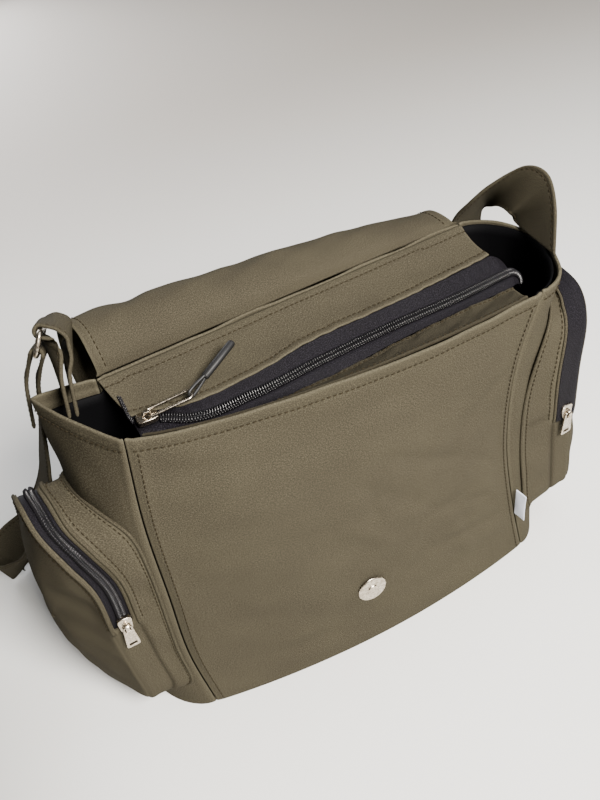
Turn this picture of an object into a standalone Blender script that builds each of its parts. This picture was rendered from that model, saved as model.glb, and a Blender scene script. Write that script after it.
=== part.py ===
"""Canvas shoulder bag, its flap thrown back, with two zipped side pockets and a loose strap.

Metres, +Z up. The bag stands on z = 0, its front faces -Y and its left side is at -X.
Tables hold shares: x of BODY_WIDTH, y of BODY_DEPTH and z of BODY_HEIGHT, unless a column says else.
"""

import math
from collections import namedtuple

import bmesh
import bpy
import numpy as np
from mathutils import Matrix, Vector

# Driving dimensions
BODY_WIDTH = 0.240
BODY_DEPTH = 0.082
BODY_HEIGHT = 0.226
WALL = 0.0020
LINING = 0.0010
FLAP = 0.0024
FACING = 0.0016
TAPE = 0.0009
POCKET_WALL = 0.0018
GAP = 0.0003
LINING_GAP = 0.0010
LINING_DROP = 0.0090
RIM_RISE = 0.010
ZIP_SAG = 0.018
COIL_WIDTH = 0.0056
COIL_RISE = 0.0016
COIL_LIFT = 0.0014
COIL_SEAT = 0.0048
STRAP_WIDTH = 0.038
STRAP = 0.0022
LAYER_GAP = 0.0009
FLOOR_CLEAR = 0.0034
RING_WIRE = 0.0030
RING_REACH = 0.0125
SNAP_DIAMETER = 0.020
SNAP_RISE = 0.0022
SNAP_HEIGHT = 0.055
TAG_WIDTH = 0.008
TAG_HEIGHT = 0.025
TAG = 0.0010
TAG_LIFT = 0.0020
TAG_CENTRE = 0.048
SLIDER_LENGTH = 0.012
SLIDER_WIDTH = 0.009
SLIDER_RISE = 0.0030
SLIDER_LIFT = 0.0024
CROWN_WIDTH = 0.0022
CROWN_THICK = 0.0010
CROWN_HOLE = 0.0030
LOOP_WIRE = 0.0014
LOOP_LENGTH = 0.026
LOOP_WIDTH = 0.0066
PLATE_LENGTH = 0.021
PLATE_WIDTH = 0.0086
PLATE = 0.0012
CORD_HANDLE = 0.026
CORD_DIAMETER = 0.0048

# Stations round one horizontal section, and rows up the walls
FRONT_STEPS = 16
SIDE_STEPS = 10
BACK_STEPS = 12
WALL_ROWS = 9

Section = namedtuple("Section", "height front_left front_bow front_right right_bulge back_right "
                                "back_bow back_left left_bulge")
SECTIONS = [
    Section(0.00, (-.508, -.470), .15, (.502, -.500),
            (.612, .020), (.500, .560), .05, (-.500, .545), (-.640, .090)),
    Section(0.20, (-.530, -.385), .20, (.474, -.450),
            (.622, .030), (.503, .545), .07, (-.500, .530), (-.637, .110)),
    Section(0.50, (-.530, -.366), .20, (.446, -.410),
            (.628, .040), (.505, .530), .06, (-.497, .500), (-.637, .200)),
    Section(0.80, (-.525, -.335), .17, (.456, -.440),
            (.645, .060), (.510, .545), .04, (-.494, .470), (-.640, .310)),
    Section(1.00, (-.505, -.285), .13, (.497, -.488),
            (.636, .080), (.512, .561), .00, (-.492, .451), (-.638, .400)),
]
BULGE_FULLNESS = 0.45
BULGE_ROUNDNESS = 0.55
MOUTH_PULL = 0.70
MOUTH_FOOT = 0.75
MOUTH_EASE = 1.3
CORNER_RISE = 0.60
MOUTH_RISE = 0.55

# The zip sags between the two facings: drop is a share of ZIP_SAG
ZipRow = namedtuple("ZipRow", "x back_y back_drop coil_y coil_drop front_y front_drop")
ZIP_ROWS = [
    ZipRow(-.460, .120, .62, .042, .78, -.080, .96),
    ZipRow(-.405, .070, .56, .025, .78, -.150, 1.0),
    ZipRow(-.350, .000, .50, -.080, .78, -.200, 1.0),
    ZipRow(-.200, -.015, .45, -.115, .78, -.205, 1.0),
    ZipRow(.000, .085, .45, -.067, .78, -.190, 1.0),
    ZipRow(.200, .105, .45, -.036, .78, -.135, 1.0),
    ZipRow(.380, .146, .45, -.030, .78, -.115, 1.0),
    ZipRow(.520, .190, .45, .000, .78, -.100, 1.0),
]
TAIL_LENGTH = 0.020
FACING_TRIM = 0.035

# The thrown-back flap: out is how far behind the hinge line, up is height over the hinge, both as shares
FlapRow = namedtuple("FlapRow", "length left_x left_out left_up mid_out mid_up right_x right_out right_up")
FLAP_ROWS = [
    FlapRow(0.00, -.485, .000, .000, .000, .000, .500, .000, .000),
    FlapRow(0.04, -.486, .025, .036, .050, .030, .497, .055, .006),
    FlapRow(0.08, -.488, .085, .064, .150, .050, .494, .160, .006),
    FlapRow(0.12, -.490, .190, .084, .260, .058, .492, .265, -.002),
    FlapRow(0.16, -.496, .305, .088, .370, .052, .492, .350, -.022),
    FlapRow(0.20, -.506, .410, .080, .465, .028, .493, .405, -.056),
    FlapRow(0.25, -.520, .500, .052, .530, -.020, .494, .430, -.105),
    FlapRow(0.31, -.527, .545, -.010, .550, -.085, .495, .430, -.170),
    FlapRow(0.45, -.520, .545, -.210, .515, -.255, .495, .400, -.315),
    FlapRow(0.65, -.512, .480, -.450, .430, -.475, .495, .365, -.505),
    FlapRow(0.85, -.508, .440, -.690, .390, -.700, .495, .345, -.715),
    FlapRow(1.00, -.505, .430, -.920, .380, -.920, .495, .340, -.920),
]

# Pocket outline, front foot first, up and over to the back: gusset is where its wall meets the side of
# the bag (share across the side, share of height), edge is the rim of its outer face
PocketRow = namedtuple("PocketRow", "across height edge_x edge_y edge_z")
LEFT_POCKET = [
    PocketRow(.065, .130, -.663, -.366, .119), PocketRow(.065, .280, -.672, -.366, .280),
    PocketRow(.065, .450, -.680, -.366, .450), PocketRow(.065, .620, -.682, -.358, .620),
    PocketRow(.095, .740, -.712, -.300, .735), PocketRow(.210, .785, -.740, -.140, .802),
    PocketRow(.400, .800, -.750, .060, .838), PocketRow(.600, .785, -.756, .270, .810),
    PocketRow(.740, .740, -.762, .400, .735), PocketRow(.800, .620, -.775, .440, .610),
    PocketRow(.810, .450, -.790, .450, .450), PocketRow(.810, .280, -.795, .440, .280),
    PocketRow(.800, .130, -.790, .420, .140), PocketRow(.600, .105, -.770, .240, .118),
    PocketRow(.380, .100, -.740, .000, .115), PocketRow(.180, .110, -.700, -.200, .115),
]
RIGHT_POCKET = [
    PocketRow(.100, .150, .695, -.370, .155), PocketRow(.095, .290, .688, -.370, .300),
    PocketRow(.095, .450, .680, -.370, .450), PocketRow(.110, .640, .676, -.370, .630),
    PocketRow(.190, .780, .696, -.320, .770), PocketRow(.310, .825, .712, -.170, .840),
    PocketRow(.440, .840, .708, .040, .865), PocketRow(.600, .820, .715, .240, .845),
    PocketRow(.720, .760, .735, .370, .780), PocketRow(.770, .640, .765, .420, .640),
    PocketRow(.780, .450, .785, .430, .450), PocketRow(.780, .290, .790, .425, .290),
    PocketRow(.770, .150, .780, .400, .145), PocketRow(.600, .120, .760, .220, .120),
    PocketRow(.420, .115, .735, .000, .118), PocketRow(.240, .125, .712, -.220, .130),
]
POCKET_STEPS = 32
POCKET_BELLY = 0.013
POCKET_LIFT = 0.0011
POCKET_HALF_WIDTH = 0.036
ZIP_MARGIN = 0.016
POCKET_ZIP_START = 0.135
POCKET_ZIP_END = 0.560

StrapRow = namedtuple("StrapRow", "x y z across")


def place(x, y, z):
    """Turn shares of the body's width, depth and height into metres."""
    return np.array([x * BODY_WIDTH, y * BODY_DEPTH, z * BODY_HEIGHT])


def unit(vectors):
    """Scale each vector of an array to length one."""
    lengths = np.linalg.norm(vectors, axis=-1, keepdims=True)
    return vectors / np.maximum(lengths, 1e-12)


def smooth_curve(knots, values, at):
    """Read a cubic curve through values at the knots, with slopes from the neighbours."""
    knots, values, at = np.asarray(knots, float), np.asarray(values, float), np.asarray(at, float)
    slopes = np.gradient(values, knots, axis=0)
    i = np.clip(np.searchsorted(knots, at, side="right") - 1, 0, len(knots) - 2)
    span = knots[i + 1] - knots[i]
    t = (at - knots[i]) / span
    if values.ndim > 1:
        t, span = t[:, None], span[:, None]
    return ((2 * t**3 - 3 * t**2 + 1) * values[i] + (t**3 - 2 * t**2 + t) * span * slopes[i]
            + (3 * t**2 - 2 * t**3) * values[i + 1] + (t**3 - t**2) * span * slopes[i + 1])


def bezier(p0, p1, p2, p3, t):
    """Points of one cubic arc at the shares t."""
    t = np.asarray(t, float)[:, None]
    return (1 - t)**3 * p0 + 3 * t * (1 - t)**2 * p1 + 3 * t**2 * (1 - t) * p2 + t**3 * p3


# Body sections

def section_at(height):
    """Blend the section table at one share of the height: corners and bulges in metres."""
    knots = [row.height for row in SECTIONS]
    blended = {}
    for field in Section._fields[1:]:
        column = np.array([np.atleast_1d(getattr(row, field)) for row in SECTIONS], float)
        blended[field] = smooth_curve(knots, column, [height])[0]
    scale = np.array([BODY_WIDTH, BODY_DEPTH])
    return {name: value * scale if len(value) == 2 else value[0] * BODY_DEPTH
            for name, value in blended.items()}


def bowed_side(start, end, bow, steps):
    """A front or back edge from start to end that bows outward, without its last point."""
    t = np.arange(steps) / steps
    along = end - start
    outward = np.array([along[1], -along[0]]) / np.linalg.norm(along)
    return start + t[:, None] * along + outward * (bow * np.sin(math.pi * t) ** 0.8)[:, None]


def bulged_side(start, bulge, end, steps, slack=1.0):
    """A gusset edge from start out to its bulge and back to end, without its last point.

    slack below 1 draws the stretch after the bulge toward a straight line.
    """
    t = np.arange(steps) / steps
    lean = np.array([1.0, 0.0])
    first = bezier(start, start + BULGE_FULLNESS * lean * (bulge - start)[0],
                   bulge - BULGE_ROUNDNESS * np.array([0, (bulge - start)[1]]), bulge, np.clip(2 * t, 0, 1))
    second = bezier(bulge, bulge + BULGE_ROUNDNESS * slack * np.array([0, (end - bulge)[1]]),
                    end + BULGE_FULLNESS * slack * lean * (bulge - end)[0], end, np.clip(2 * t - 1, 0, 1))
    return np.where(t[:, None] < 0.5, first, second)


def ring(height):
    """One closed horizontal section, counter-clockwise from the front left corner."""
    s = section_at(height)
    slack = 1 - MOUTH_PULL * max(0.0, (height - MOUTH_FOOT) / (1 - MOUTH_FOOT)) ** MOUTH_EASE
    return np.vstack([
        bowed_side(s["front_left"], s["front_right"], s["front_bow"], FRONT_STEPS),
        bulged_side(s["front_right"], s["right_bulge"], s["back_right"], SIDE_STEPS),
        bowed_side(s["back_right"], s["back_left"], s["back_bow"], BACK_STEPS),
        bulged_side(s["back_left"], s["left_bulge"], s["front_left"], SIDE_STEPS, slack)])


FRONT_LEFT = 0
FRONT_RIGHT = FRONT_STEPS
BACK_RIGHT = FRONT_RIGHT + SIDE_STEPS
BACK_LEFT = BACK_RIGHT + BACK_STEPS
RING_STEPS = BACK_LEFT + SIDE_STEPS


def inward(points, distance):
    """Move a closed section inward by a wall, keeping the wall's width at its corners."""
    ahead = unit(np.roll(points, -1, axis=0) - points)
    behind = unit(points - np.roll(points, 1, axis=0))
    mean = unit(ahead + behind)
    normal = np.stack([-mean[:, 1], mean[:, 0]], axis=1)
    stretch = np.maximum(np.sum(mean * ahead, axis=1), 0.7)
    return points + normal * (distance / stretch)[:, None]


def rim_rise():
    """How far each station of the rim stands above BODY_HEIGHT: the left side stands up."""
    rise = np.zeros(RING_STEPS)
    front = np.arange(FRONT_STEPS) / FRONT_STEPS
    rise[:FRONT_STEPS] = CORNER_RISE * (1 - front) ** 5
    side = np.arange(SIDE_STEPS) / SIDE_STEPS
    rise[BACK_LEFT:] = CORNER_RISE * side ** 1.5 + MOUTH_RISE * np.sin(math.pi * side)
    return rise * RIM_RISE


def shell_rows(heights, distance):
    """Sections of the body at several heights, moved inward, as rows of 3-D points."""
    rise = rim_rise()
    rows = []
    for height in heights:
        flat = inward(ring(height), distance)
        lift = rise * max(0.0, (height - 0.6) / 0.4) ** 2
        rows.append(np.column_stack([flat, height * BODY_HEIGHT + lift]))
    return np.array(rows)


# Solids from grids of points

def finish(name, bm, material, smooth_angle=40.0):
    """Turn a bmesh into a shaded object with its faces pointing out."""
    bmesh.ops.recalc_face_normals(bm, faces=bm.faces)
    mesh = bpy.data.meshes.new(name)
    bm.to_mesh(mesh)
    bm.free()
    mesh.materials.append(material)
    mesh.shade_smooth()
    mesh.set_sharp_from_angle(angle=math.radians(smooth_angle))
    thing = bpy.data.objects.new(name, mesh)
    bpy.context.collection.objects.link(thing)
    return thing


def sheet(name, outer, inner, material, keep=None, closed=False):
    """Make one solid between two grids of points. keep masks its cells, closed joins its columns."""
    rows, columns = outer.shape[:2]
    cell_columns = columns if closed else columns - 1
    if keep is None:
        keep = np.ones((rows - 1, cell_columns), bool)
    bm = bmesh.new()
    corners = {}

    def vertex(side, r, c):
        key = (side, r, c % columns)
        if key not in corners:
            corners[key] = bm.verts.new((outer if side == 0 else inner)[r, c % columns])
        return corners[key]

    edges = {}
    for r in range(rows - 1):
        for c in range(cell_columns):
            if not keep[r, c]:
                continue
            cell = [(r, c), (r, c + 1), (r + 1, c + 1), (r + 1, c)]
            bm.faces.new([vertex(0, *p) for p in cell])
            bm.faces.new([vertex(1, *p) for p in reversed(cell)])
            for a, b in zip(cell, cell[1:] + cell[:1]):
                a, b = (a[0], a[1] % columns), (b[0], b[1] % columns)
                edges[(a, b)] = edges.get((a, b), 0) + 1
    for a, b in edges:
        if (b, a) not in edges:
            bm.faces.new([vertex(0, *b), vertex(0, *a), vertex(1, *a), vertex(1, *b)])
    return finish(name, bm, material)


def pull_in(points, amount, top=False, bottom=False, first=False, last=False):
    """Shorten a grid by an amount at the named borders, along its own surface."""
    grid = points.copy()
    if first:
        grid[:, 0] += unit(points[:, 1] - points[:, 0]) * amount
    if last:
        grid[:, -1] += unit(points[:, -2] - points[:, -1]) * amount
    if bottom:
        grid[0] += unit(points[1] - points[0]) * amount
    if top:
        grid[-1] += unit(points[-2] - points[-1]) * amount
    return grid


def grid_normals(points, closed=False):
    """Unit normals of a grid: rows run up, columns run round."""
    def mean_direction(axis, wrap):
        ahead = np.roll(points, -1, axis=axis) - points
        behind = points - np.roll(points, 1, axis=axis)
        ahead, behind = unit(ahead), unit(behind)
        if not wrap:
            first = [slice(None)] * 3
            last = [slice(None)] * 3
            first[axis], last[axis] = 0, -1
            behind[tuple(first)] = ahead[tuple(first)]
            ahead[tuple(last)] = behind[tuple(last)]
        return unit(ahead + behind)
    return unit(np.cross(mean_direction(1, closed), mean_direction(0, False)))


def ribbon(name, near, far, thickness, material):
    """A flat band between two edge lines, with square ends."""
    middle = (near + far) / 2
    travel = np.gradient(middle, axis=0)
    face = unit(np.cross(travel, near - far)) * thickness / 2
    bm = bmesh.new()
    loops = [[bm.verts.new(p) for p in station]
             for station in zip(near + face, far + face, far - face, near - face)]
    for low, high in zip(loops, loops[1:]):
        for i in range(4):
            bm.faces.new([low[i], low[(i + 1) % 4], high[(i + 1) % 4], high[i]])
    bm.faces.new(loops[0])
    bm.faces.new(loops[-1])
    return finish(name, bm, material)


def tube(name, route, radius, sides, material, closed=False):
    """A round wire along a route. A closed one joins its ends."""
    route = np.asarray(route, float)
    ahead = np.roll(route, -1, axis=0) - route
    behind = route - np.roll(route, 1, axis=0)
    if not closed:
        ahead[-1], behind[0] = behind[-1], ahead[0]
    travel = unit(unit(ahead) + unit(behind))
    stretch = np.maximum(np.sum(travel * unit(ahead), axis=1), 0.5)
    plane_normal = unit(np.cross(route[1] - route[0], route[len(route) // 2] - route[0]) + 1e-9)
    side = unit(np.cross(travel, plane_normal))
    bm = bmesh.new()
    loops = []
    for centre, across, along, widen in zip(route, side, travel, stretch):
        up = np.cross(along, across)
        turns = [2 * math.pi * (i + 0.5) / sides for i in range(sides)]
        loops.append([bm.verts.new(centre + radius * (math.cos(a) * across / widen + math.sin(a) * up))
                      for a in turns])
    pairs = list(zip(loops, loops[1:])) + ([(loops[-1], loops[0])] if closed else [])
    for low, high in pairs:
        for i in range(sides):
            bm.faces.new([low[i], low[(i + 1) % sides], high[(i + 1) % sides], high[i]])
    if not closed:
        bm.faces.new(loops[0])
        bm.faces.new(loops[-1])
    return finish(name, bm, material)


def fabric(name, colour, roughness=0.9, metallic=0.0):
    """A plain surface of one colour."""
    material = bpy.data.materials.new(name)
    material.use_nodes = True
    shader = material.node_tree.nodes["Principled BSDF"]
    shader.inputs["Base Color"].default_value = (*colour, 1.0)
    shader.inputs["Roughness"].default_value = roughness
    shader.inputs["Metallic"].default_value = metallic
    material.diffuse_color = (*colour, 1.0)
    return material


def olive(name):
    """Olive canvas."""
    return fabric(f"{name} canvas", (0.115, 0.098, 0.062))


def black(name):
    """Black woven cloth."""
    return fabric(f"{name} black", (0.022, 0.021, 0.023))


def steel(name):
    """Bright nickel."""
    return fabric(f"{name} nickel", (0.62, 0.58, 0.52), 0.25, 1.0)


# Pieces of the body

def wall_heights(start):
    """Shares of the height of the wall rows above a first one, with one at the top of the lining."""
    return [start / BODY_HEIGHT] + list(np.linspace(0.1, 1.0 - LINING_DROP / BODY_HEIGHT, WALL_ROWS - 1))


def make_walls():
    """Front, back and the two side gussets: one closed wall, mitred at its four corner seams."""
    heights = [0.0] + wall_heights(WALL) + [1.0]
    outer = shell_rows(heights, 0.0)
    inner = shell_rows(heights, WALL)
    spans = {"front_panel": (FRONT_LEFT, FRONT_RIGHT), "gusset_right": (FRONT_RIGHT, BACK_RIGHT),
             "back_panel": (BACK_RIGHT, BACK_LEFT), "gusset_left": (BACK_LEFT, RING_STEPS)}
    for name, (start, end) in spans.items():
        columns = np.arange(start, end + 1) % RING_STEPS
        sheet(name, pull_in(outer[:, columns], GAP / 2, first=True, last=True),
              pull_in(inner[:, columns], GAP / 2, first=True, last=True), olive(name))


def cup(name, outer, inner, material):
    """A closed-bottomed bag between two sets of rows, open at the top."""
    bm = bmesh.new()
    sides = []
    for rows in (outer, inner):
        sides.append([[bm.verts.new(p) for p in row] for row in rows])
    count = outer.shape[1]
    for side in sides:
        for low, high in zip(side, side[1:]):
            for i in range(count):
                bm.faces.new([low[i], low[(i + 1) % count], high[(i + 1) % count], high[i]])
        bm.faces.new(side[0])
    for i in range(count):
        bm.faces.new([sides[0][-1][i], sides[0][-1][(i + 1) % count],
                      sides[1][-1][(i + 1) % count], sides[1][-1][i]])
    return finish(name, bm, material)


def make_bottom_and_lining():
    """The flat bottom inside the walls, and the lining bag inside both."""
    heights = [0.0, WALL / BODY_HEIGHT]
    outline = shell_rows(heights, WALL + GAP)
    bm = bmesh.new()
    low, high = ([bm.verts.new(p) for p in row] for row in outline)
    for i in range(RING_STEPS):
        j = (i + 1) % RING_STEPS
        bm.faces.new([low[i], low[j], high[j], high[i]])
    bm.faces.new(low)
    bm.faces.new(high)
    finish("bottom_panel", bm, olive("bottom_panel"))
    outer = shell_rows(wall_heights(WALL + GAP), WALL + LINING_GAP)
    inner = shell_rows(wall_heights(WALL + GAP + LINING), WALL + LINING_GAP + LINING)
    cup("lining", outer, inner, black("lining"))


def rim_line(start, end, distance, steps):
    """Points along the rim between two stations, moved inward, evenly by share of the ring."""
    rim = shell_rows([1.0], distance)[0]
    stations = np.linspace(start, end, steps)
    return np.column_stack([np.interp(stations, np.arange(RING_STEPS + 1), np.r_[rim[:, i], rim[0, i]])
                            for i in range(3)])


FACING_STEPS = 18


def zip_line(field, shares):
    """One line of the zip table, read at shares of its length."""
    x = [row.x for row in ZIP_ROWS]
    at = x[0] + (x[-1] - x[0]) * np.asarray(shares, float)
    y = smooth_curve(x, [getattr(row, field + "_y") for row in ZIP_ROWS], at)
    drop = smooth_curve(x, [getattr(row, field + "_drop") for row in ZIP_ROWS], at)
    return np.column_stack([at * BODY_WIDTH, y * BODY_DEPTH, BODY_HEIGHT - drop * ZIP_SAG])


def facing_grid(rim, edge, sag):
    """A strip of cloth from the rim to the zip, hanging a little between them."""
    across = np.linspace(0, 1, 4)[:, None, None]
    grid = rim[None] * (1 - across) + edge[None] * across
    grid[:, :, 2] -= sag * np.sin(math.pi * across[:, :, 0])
    return grid


def drop_grid(grid, thickness):
    """The underside of a sloping grid of points, straight below it."""
    slope = np.maximum(np.abs(grid_normals(grid)[..., 2]), 0.35)
    under = grid.copy()
    under[..., 2] -= thickness / slope
    return under


def make_facings_and_zip():
    """Back and front facings along the rim, the zip's tape and coil between them."""
    shares = np.linspace(0, 1, FACING_STEPS)
    back_rim = rim_line(BACK_LEFT, BACK_RIGHT, WALL + GAP, FACING_STEPS)
    front_rim = rim_line(FRONT_LEFT + FRONT_STEPS * FACING_TRIM, FRONT_RIGHT - FRONT_STEPS * FACING_TRIM,
                         WALL + GAP, FACING_STEPS)
    back_edge, front_edge = zip_line("back", shares), zip_line("front", shares)
    back = facing_grid(back_rim, back_edge, 0.002)
    front = facing_grid(front_rim, front_edge, 0.001)
    back = pull_in(back, GAP, top=True)
    front = pull_in(front, GAP, top=True)
    sheet("facing_back", back, drop_grid(back, FACING), olive("facing_back"))
    sheet("facing_front", front, drop_grid(front, FACING), olive("facing_front"))

    coil = zip_line("coil", shares)
    seats = []
    for edge in (front_edge, back_edge):
        away = (edge - coil) * (1, 1, 0)
        reach = np.linalg.norm(away, axis=1, keepdims=True)
        seats.append(coil + away / reach * np.minimum(COIL_SEAT, reach * 0.72))
    tape = np.array([front_edge, seats[0], coil, seats[1], back_edge])
    tail = tail_rows(tape)
    tape = np.concatenate([tape, tail], axis=1)
    tape = pull_in(tape, GAP, top=True, bottom=True)
    sheet("zip_tape", tape, drop_grid(tape, TAPE), black("zip_tape"))
    middle, up = tape[2], grid_normals(tape)[2]
    up *= np.sign(up[:, 2:3])
    place_slider("zip", middle, up, forward=True)


def tail_rows(tape):
    """The closed end of the zip, which runs on past the facings and curls down into the bag."""
    run = np.array([0.35, 0.70, 1.0]) * TAIL_LENGTH
    narrowing = np.array([0.85, 0.65, 0.50])
    centre, columns = tape[2, -1], []
    for distance, narrow in zip(run, narrowing):
        turn = distance / TAIL_LENGTH
        shift = np.array([distance * (1 - 0.35 * turn), 0.004 * turn, -0.013 * turn ** 1.6])
        columns.append(centre + (tape[:, -1] - centre) * narrow + shift)
    return np.stack(columns, axis=1)


def along_line(line, values, distances):
    """Read a line's points and other values at distances from its start."""
    reach = np.concatenate([[0.0], np.cumsum(np.linalg.norm(np.diff(line, axis=0), axis=1))])
    read = [np.column_stack([np.interp(distances, reach, v[:, i]) for i in range(3)]) for v in (line, values)]
    return read[0], unit(read[1]), reach[-1]


COIL_PROFILE = [(-0.5, 0.0), (-0.42, 0.75), (-0.15, 1.0), (0.15, 1.0), (0.42, 0.75), (0.5, 0.0)]


def make_coil(name, line, up, start):
    """The joined teeth: a low rounded bar along the middle of the tape, from a distance along it."""
    reach = np.concatenate([[0.0], np.cumsum(np.linalg.norm(np.diff(line, axis=0), axis=1))])
    first, first_up, _ = along_line(line, up, [start])
    past = reach > start + COIL_WIDTH / 2
    base, lift = np.vstack([first, line[past]]), np.vstack([first_up, up[past]])
    across = unit(np.cross(np.gradient(base, axis=0), lift))
    bm = bmesh.new()
    loops = [[bm.verts.new(p + l * (COIL_LIFT + rise * COIL_RISE) + a * wide * COIL_WIDTH)
              for wide, rise in COIL_PROFILE] for p, l, a in zip(base, lift, across)]
    for low, high in zip(loops, loops[1:]):
        for i in range(len(COIL_PROFILE)):
            j = (i + 1) % len(COIL_PROFILE)
            bm.faces.new([low[i], low[j], high[j], high[i]])
    bm.faces.new(loops[0])
    bm.faces.new(loops[-1])
    finish(name, bm, black(name))


# Sliders and pulls. Local frame: x the way the pull lies, y across the zip, z off the cloth

def local_frame(origin, along, up):
    """A matrix with its x along, its z near up and its origin given."""
    x = Vector(along).normalized()
    y = Vector(up).cross(x).normalized()
    z = x.cross(y)
    return Matrix.Translation(Vector(origin)) @ Matrix((x, y, z)).transposed().to_4x4()


def plate_mesh(outline, low, high, holes=()):
    """Extrude an outline, with holes, between two heights."""
    bm = bmesh.new()
    edges = []
    for loop in (outline, *holes):
        points = [bm.verts.new((x, y, low)) for x, y in loop]
        edges += [bm.edges.new((a, b)) for a, b in zip(points, points[1:] + points[:1])]
    bmesh.ops.triangle_fill(bm, edges=edges, use_beauty=True)
    raised = bmesh.ops.extrude_face_region(bm, geom=bm.faces[:])["geom"]
    lifted = [v for v in raised if isinstance(v, bmesh.types.BMVert)]
    bmesh.ops.translate(bm, verts=lifted, vec=(0, 0, high - low))
    return bm


def rounded_outline(length, narrow, wide, radius, steps=3):
    """An outline along x from 0 to length, wider at its end, with rounded corners."""
    corners = [(0, -narrow / 2), (length, -wide / 2), (length, wide / 2), (0, narrow / 2)]
    points = []
    for i, corner in enumerate(corners):
        here, before, after = (np.array(corners[k % 4], float) for k in (i, i - 1, i + 1))
        start = here + unit(before - here) * radius
        end = here + unit(after - here) * radius
        for t in np.linspace(0, 1, steps):
            points.append(tuple((1 - t)**2 * start + 2 * t * (1 - t) * here + t**2 * end))
    return points


def union(name, pieces, material, frame):
    """Join overlapping meshes into one solid, placed by its frame."""
    whole = None
    for k, bm in enumerate(pieces):
        piece = finish(name if k == 0 else f"{name}_union_{k}", bm, material, 35)
        piece.matrix_world = frame
        if whole is None:
            whole = piece
            continue
        piece.hide_render = True
        piece.display_type = "WIRE"
        join = whole.modifiers.new("join", "BOOLEAN")
        join.operation = "UNION"
        join.solver = "EXACT"
        join.object = piece
    return whole


def crown_mesh():
    """The slider's bridge: an arch standing on the body, its legs sunk into it."""
    half, top = CROWN_HOLE / 2 + CROWN_THICK, SLIDER_RISE + CROWN_HOLE * 0.8 + CROWN_THICK
    inner, roof = CROWN_HOLE / 2, SLIDER_RISE + CROWN_HOLE * 0.8
    foot = SLIDER_RISE * 0.5
    profile = [(-half, foot), (-inner, foot), (-inner, roof - 0.0006), (-inner + 0.0006, roof),
               (inner - 0.0006, roof), (inner, roof - 0.0006), (inner, foot), (half, foot),
               (half, top - 0.0010), (half - 0.0010, top), (-half + 0.0010, top), (-half, top - 0.0010)]
    bm = plate_mesh(profile, -CROWN_WIDTH / 2, CROWN_WIDTH / 2)
    bmesh.ops.rotate(bm, verts=bm.verts, matrix=Matrix.Rotation(math.pi / 2, 3, "X"))
    return bm


PIVOT_RISE = SLIDER_RISE + CROWN_HOLE * 0.4


def make_slider(name, frame):
    """The slider's body with its bridge, over the coil."""
    outline = [(x - SLIDER_LENGTH / 2, y) for x, y in
               rounded_outline(SLIDER_LENGTH, SLIDER_WIDTH, SLIDER_WIDTH * 0.72, 0.0028)]
    body = plate_mesh(outline, 0.0, SLIDER_RISE)
    return union(name, [body, crown_mesh()], steel(name), frame)


def make_plate_pull(name, frame, tilt):
    """A flat tapered pull whose top bar lies under the slider's bridge."""
    bar = PLATE / 2
    eye = [(bar, -CROWN_WIDTH * 0.8), (bar + 0.0036, -CROWN_WIDTH * 0.8),
           (bar + 0.0036, CROWN_WIDTH * 0.8), (bar, CROWN_WIDTH * 0.8)]
    slot_from, slot_to = PLATE_LENGTH * 0.76, PLATE_LENGTH * 0.87
    slot = [(slot_from, -PLATE_WIDTH * 0.27), (slot_to, -PLATE_WIDTH * 0.27),
            (slot_to, PLATE_WIDTH * 0.27), (slot_from, PLATE_WIDTH * 0.27)]
    outline = [(x - bar, y) for x, y in
               rounded_outline(PLATE_LENGTH, PLATE_WIDTH * 0.62, PLATE_WIDTH, 0.0018)]
    bm = plate_mesh(outline, -PLATE / 2, PLATE / 2, (eye, slot))
    thing = finish(name, bm, steel(name), 35)
    thing.matrix_world = frame @ Matrix.Translation((0, 0, PIVOT_RISE)) @ Matrix.Rotation(tilt, 4, "Y")
    return thing


def loop_route(length, width, radius, steps=4):
    """A closed rounded rectangle in the plane z = 0, its first short side on the y axis."""
    corners = [(0, -width / 2), (length, -width / 2), (length, width / 2), (0, width / 2)]
    points = []
    for i in range(4):
        here, before, after = (np.array((*corners[k % 4], 0.0)) for k in (i, i - 1, i + 1))
        start, end = here + unit(before - here) * radius, here + unit(after - here) * radius
        for t in np.linspace(0, 1, steps):
            points.append((1 - t)**2 * start + 2 * t * (1 - t) * here + t**2 * end)
    return points


def make_loop_pull(frame, tilt):
    """The main zip's wire loop, one end under the slider's bridge."""
    route = loop_route(LOOP_LENGTH, LOOP_WIDTH, 0.0022)
    thing = tube("zip_pull_loop", route, LOOP_WIRE / 2, 6, steel("zip_pull_loop"), closed=True)
    thing.matrix_world = frame @ Matrix.Translation((0, 0, PIVOT_RISE)) @ Matrix.Rotation(tilt, 4, "Y")
    return thing


CORD_TURN = math.radians(32)
CORD_RISE = math.radians(-6)
CORD = 0.0018


def tube_mesh(route, radius, sides):
    """The bmesh of a plain tube along a route in the plane y = 0."""
    bm = bmesh.new()
    travel = unit(np.gradient(np.array(route, float), axis=0))
    loops = []
    for centre, along in zip(route, travel):
        up = np.array([-along[2], 0.0, along[0]])
        loops.append([bm.verts.new(np.array(centre) + radius * (math.cos(a) * np.array([0.0, 1.0, 0.0])
                                                                + math.sin(a) * up))
                      for a in [2 * math.pi * i / sides for i in range(sides)]])
    for low, high in zip(loops, loops[1:]):
        for i in range(sides):
            bm.faces.new([low[i], low[(i + 1) % sides], high[(i + 1) % sides], high[i]])
    bm.faces.new(loops[0])
    bm.faces.new(loops[-1])
    bmesh.ops.recalc_face_normals(bm, faces=bm.faces)
    return bm


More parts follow.
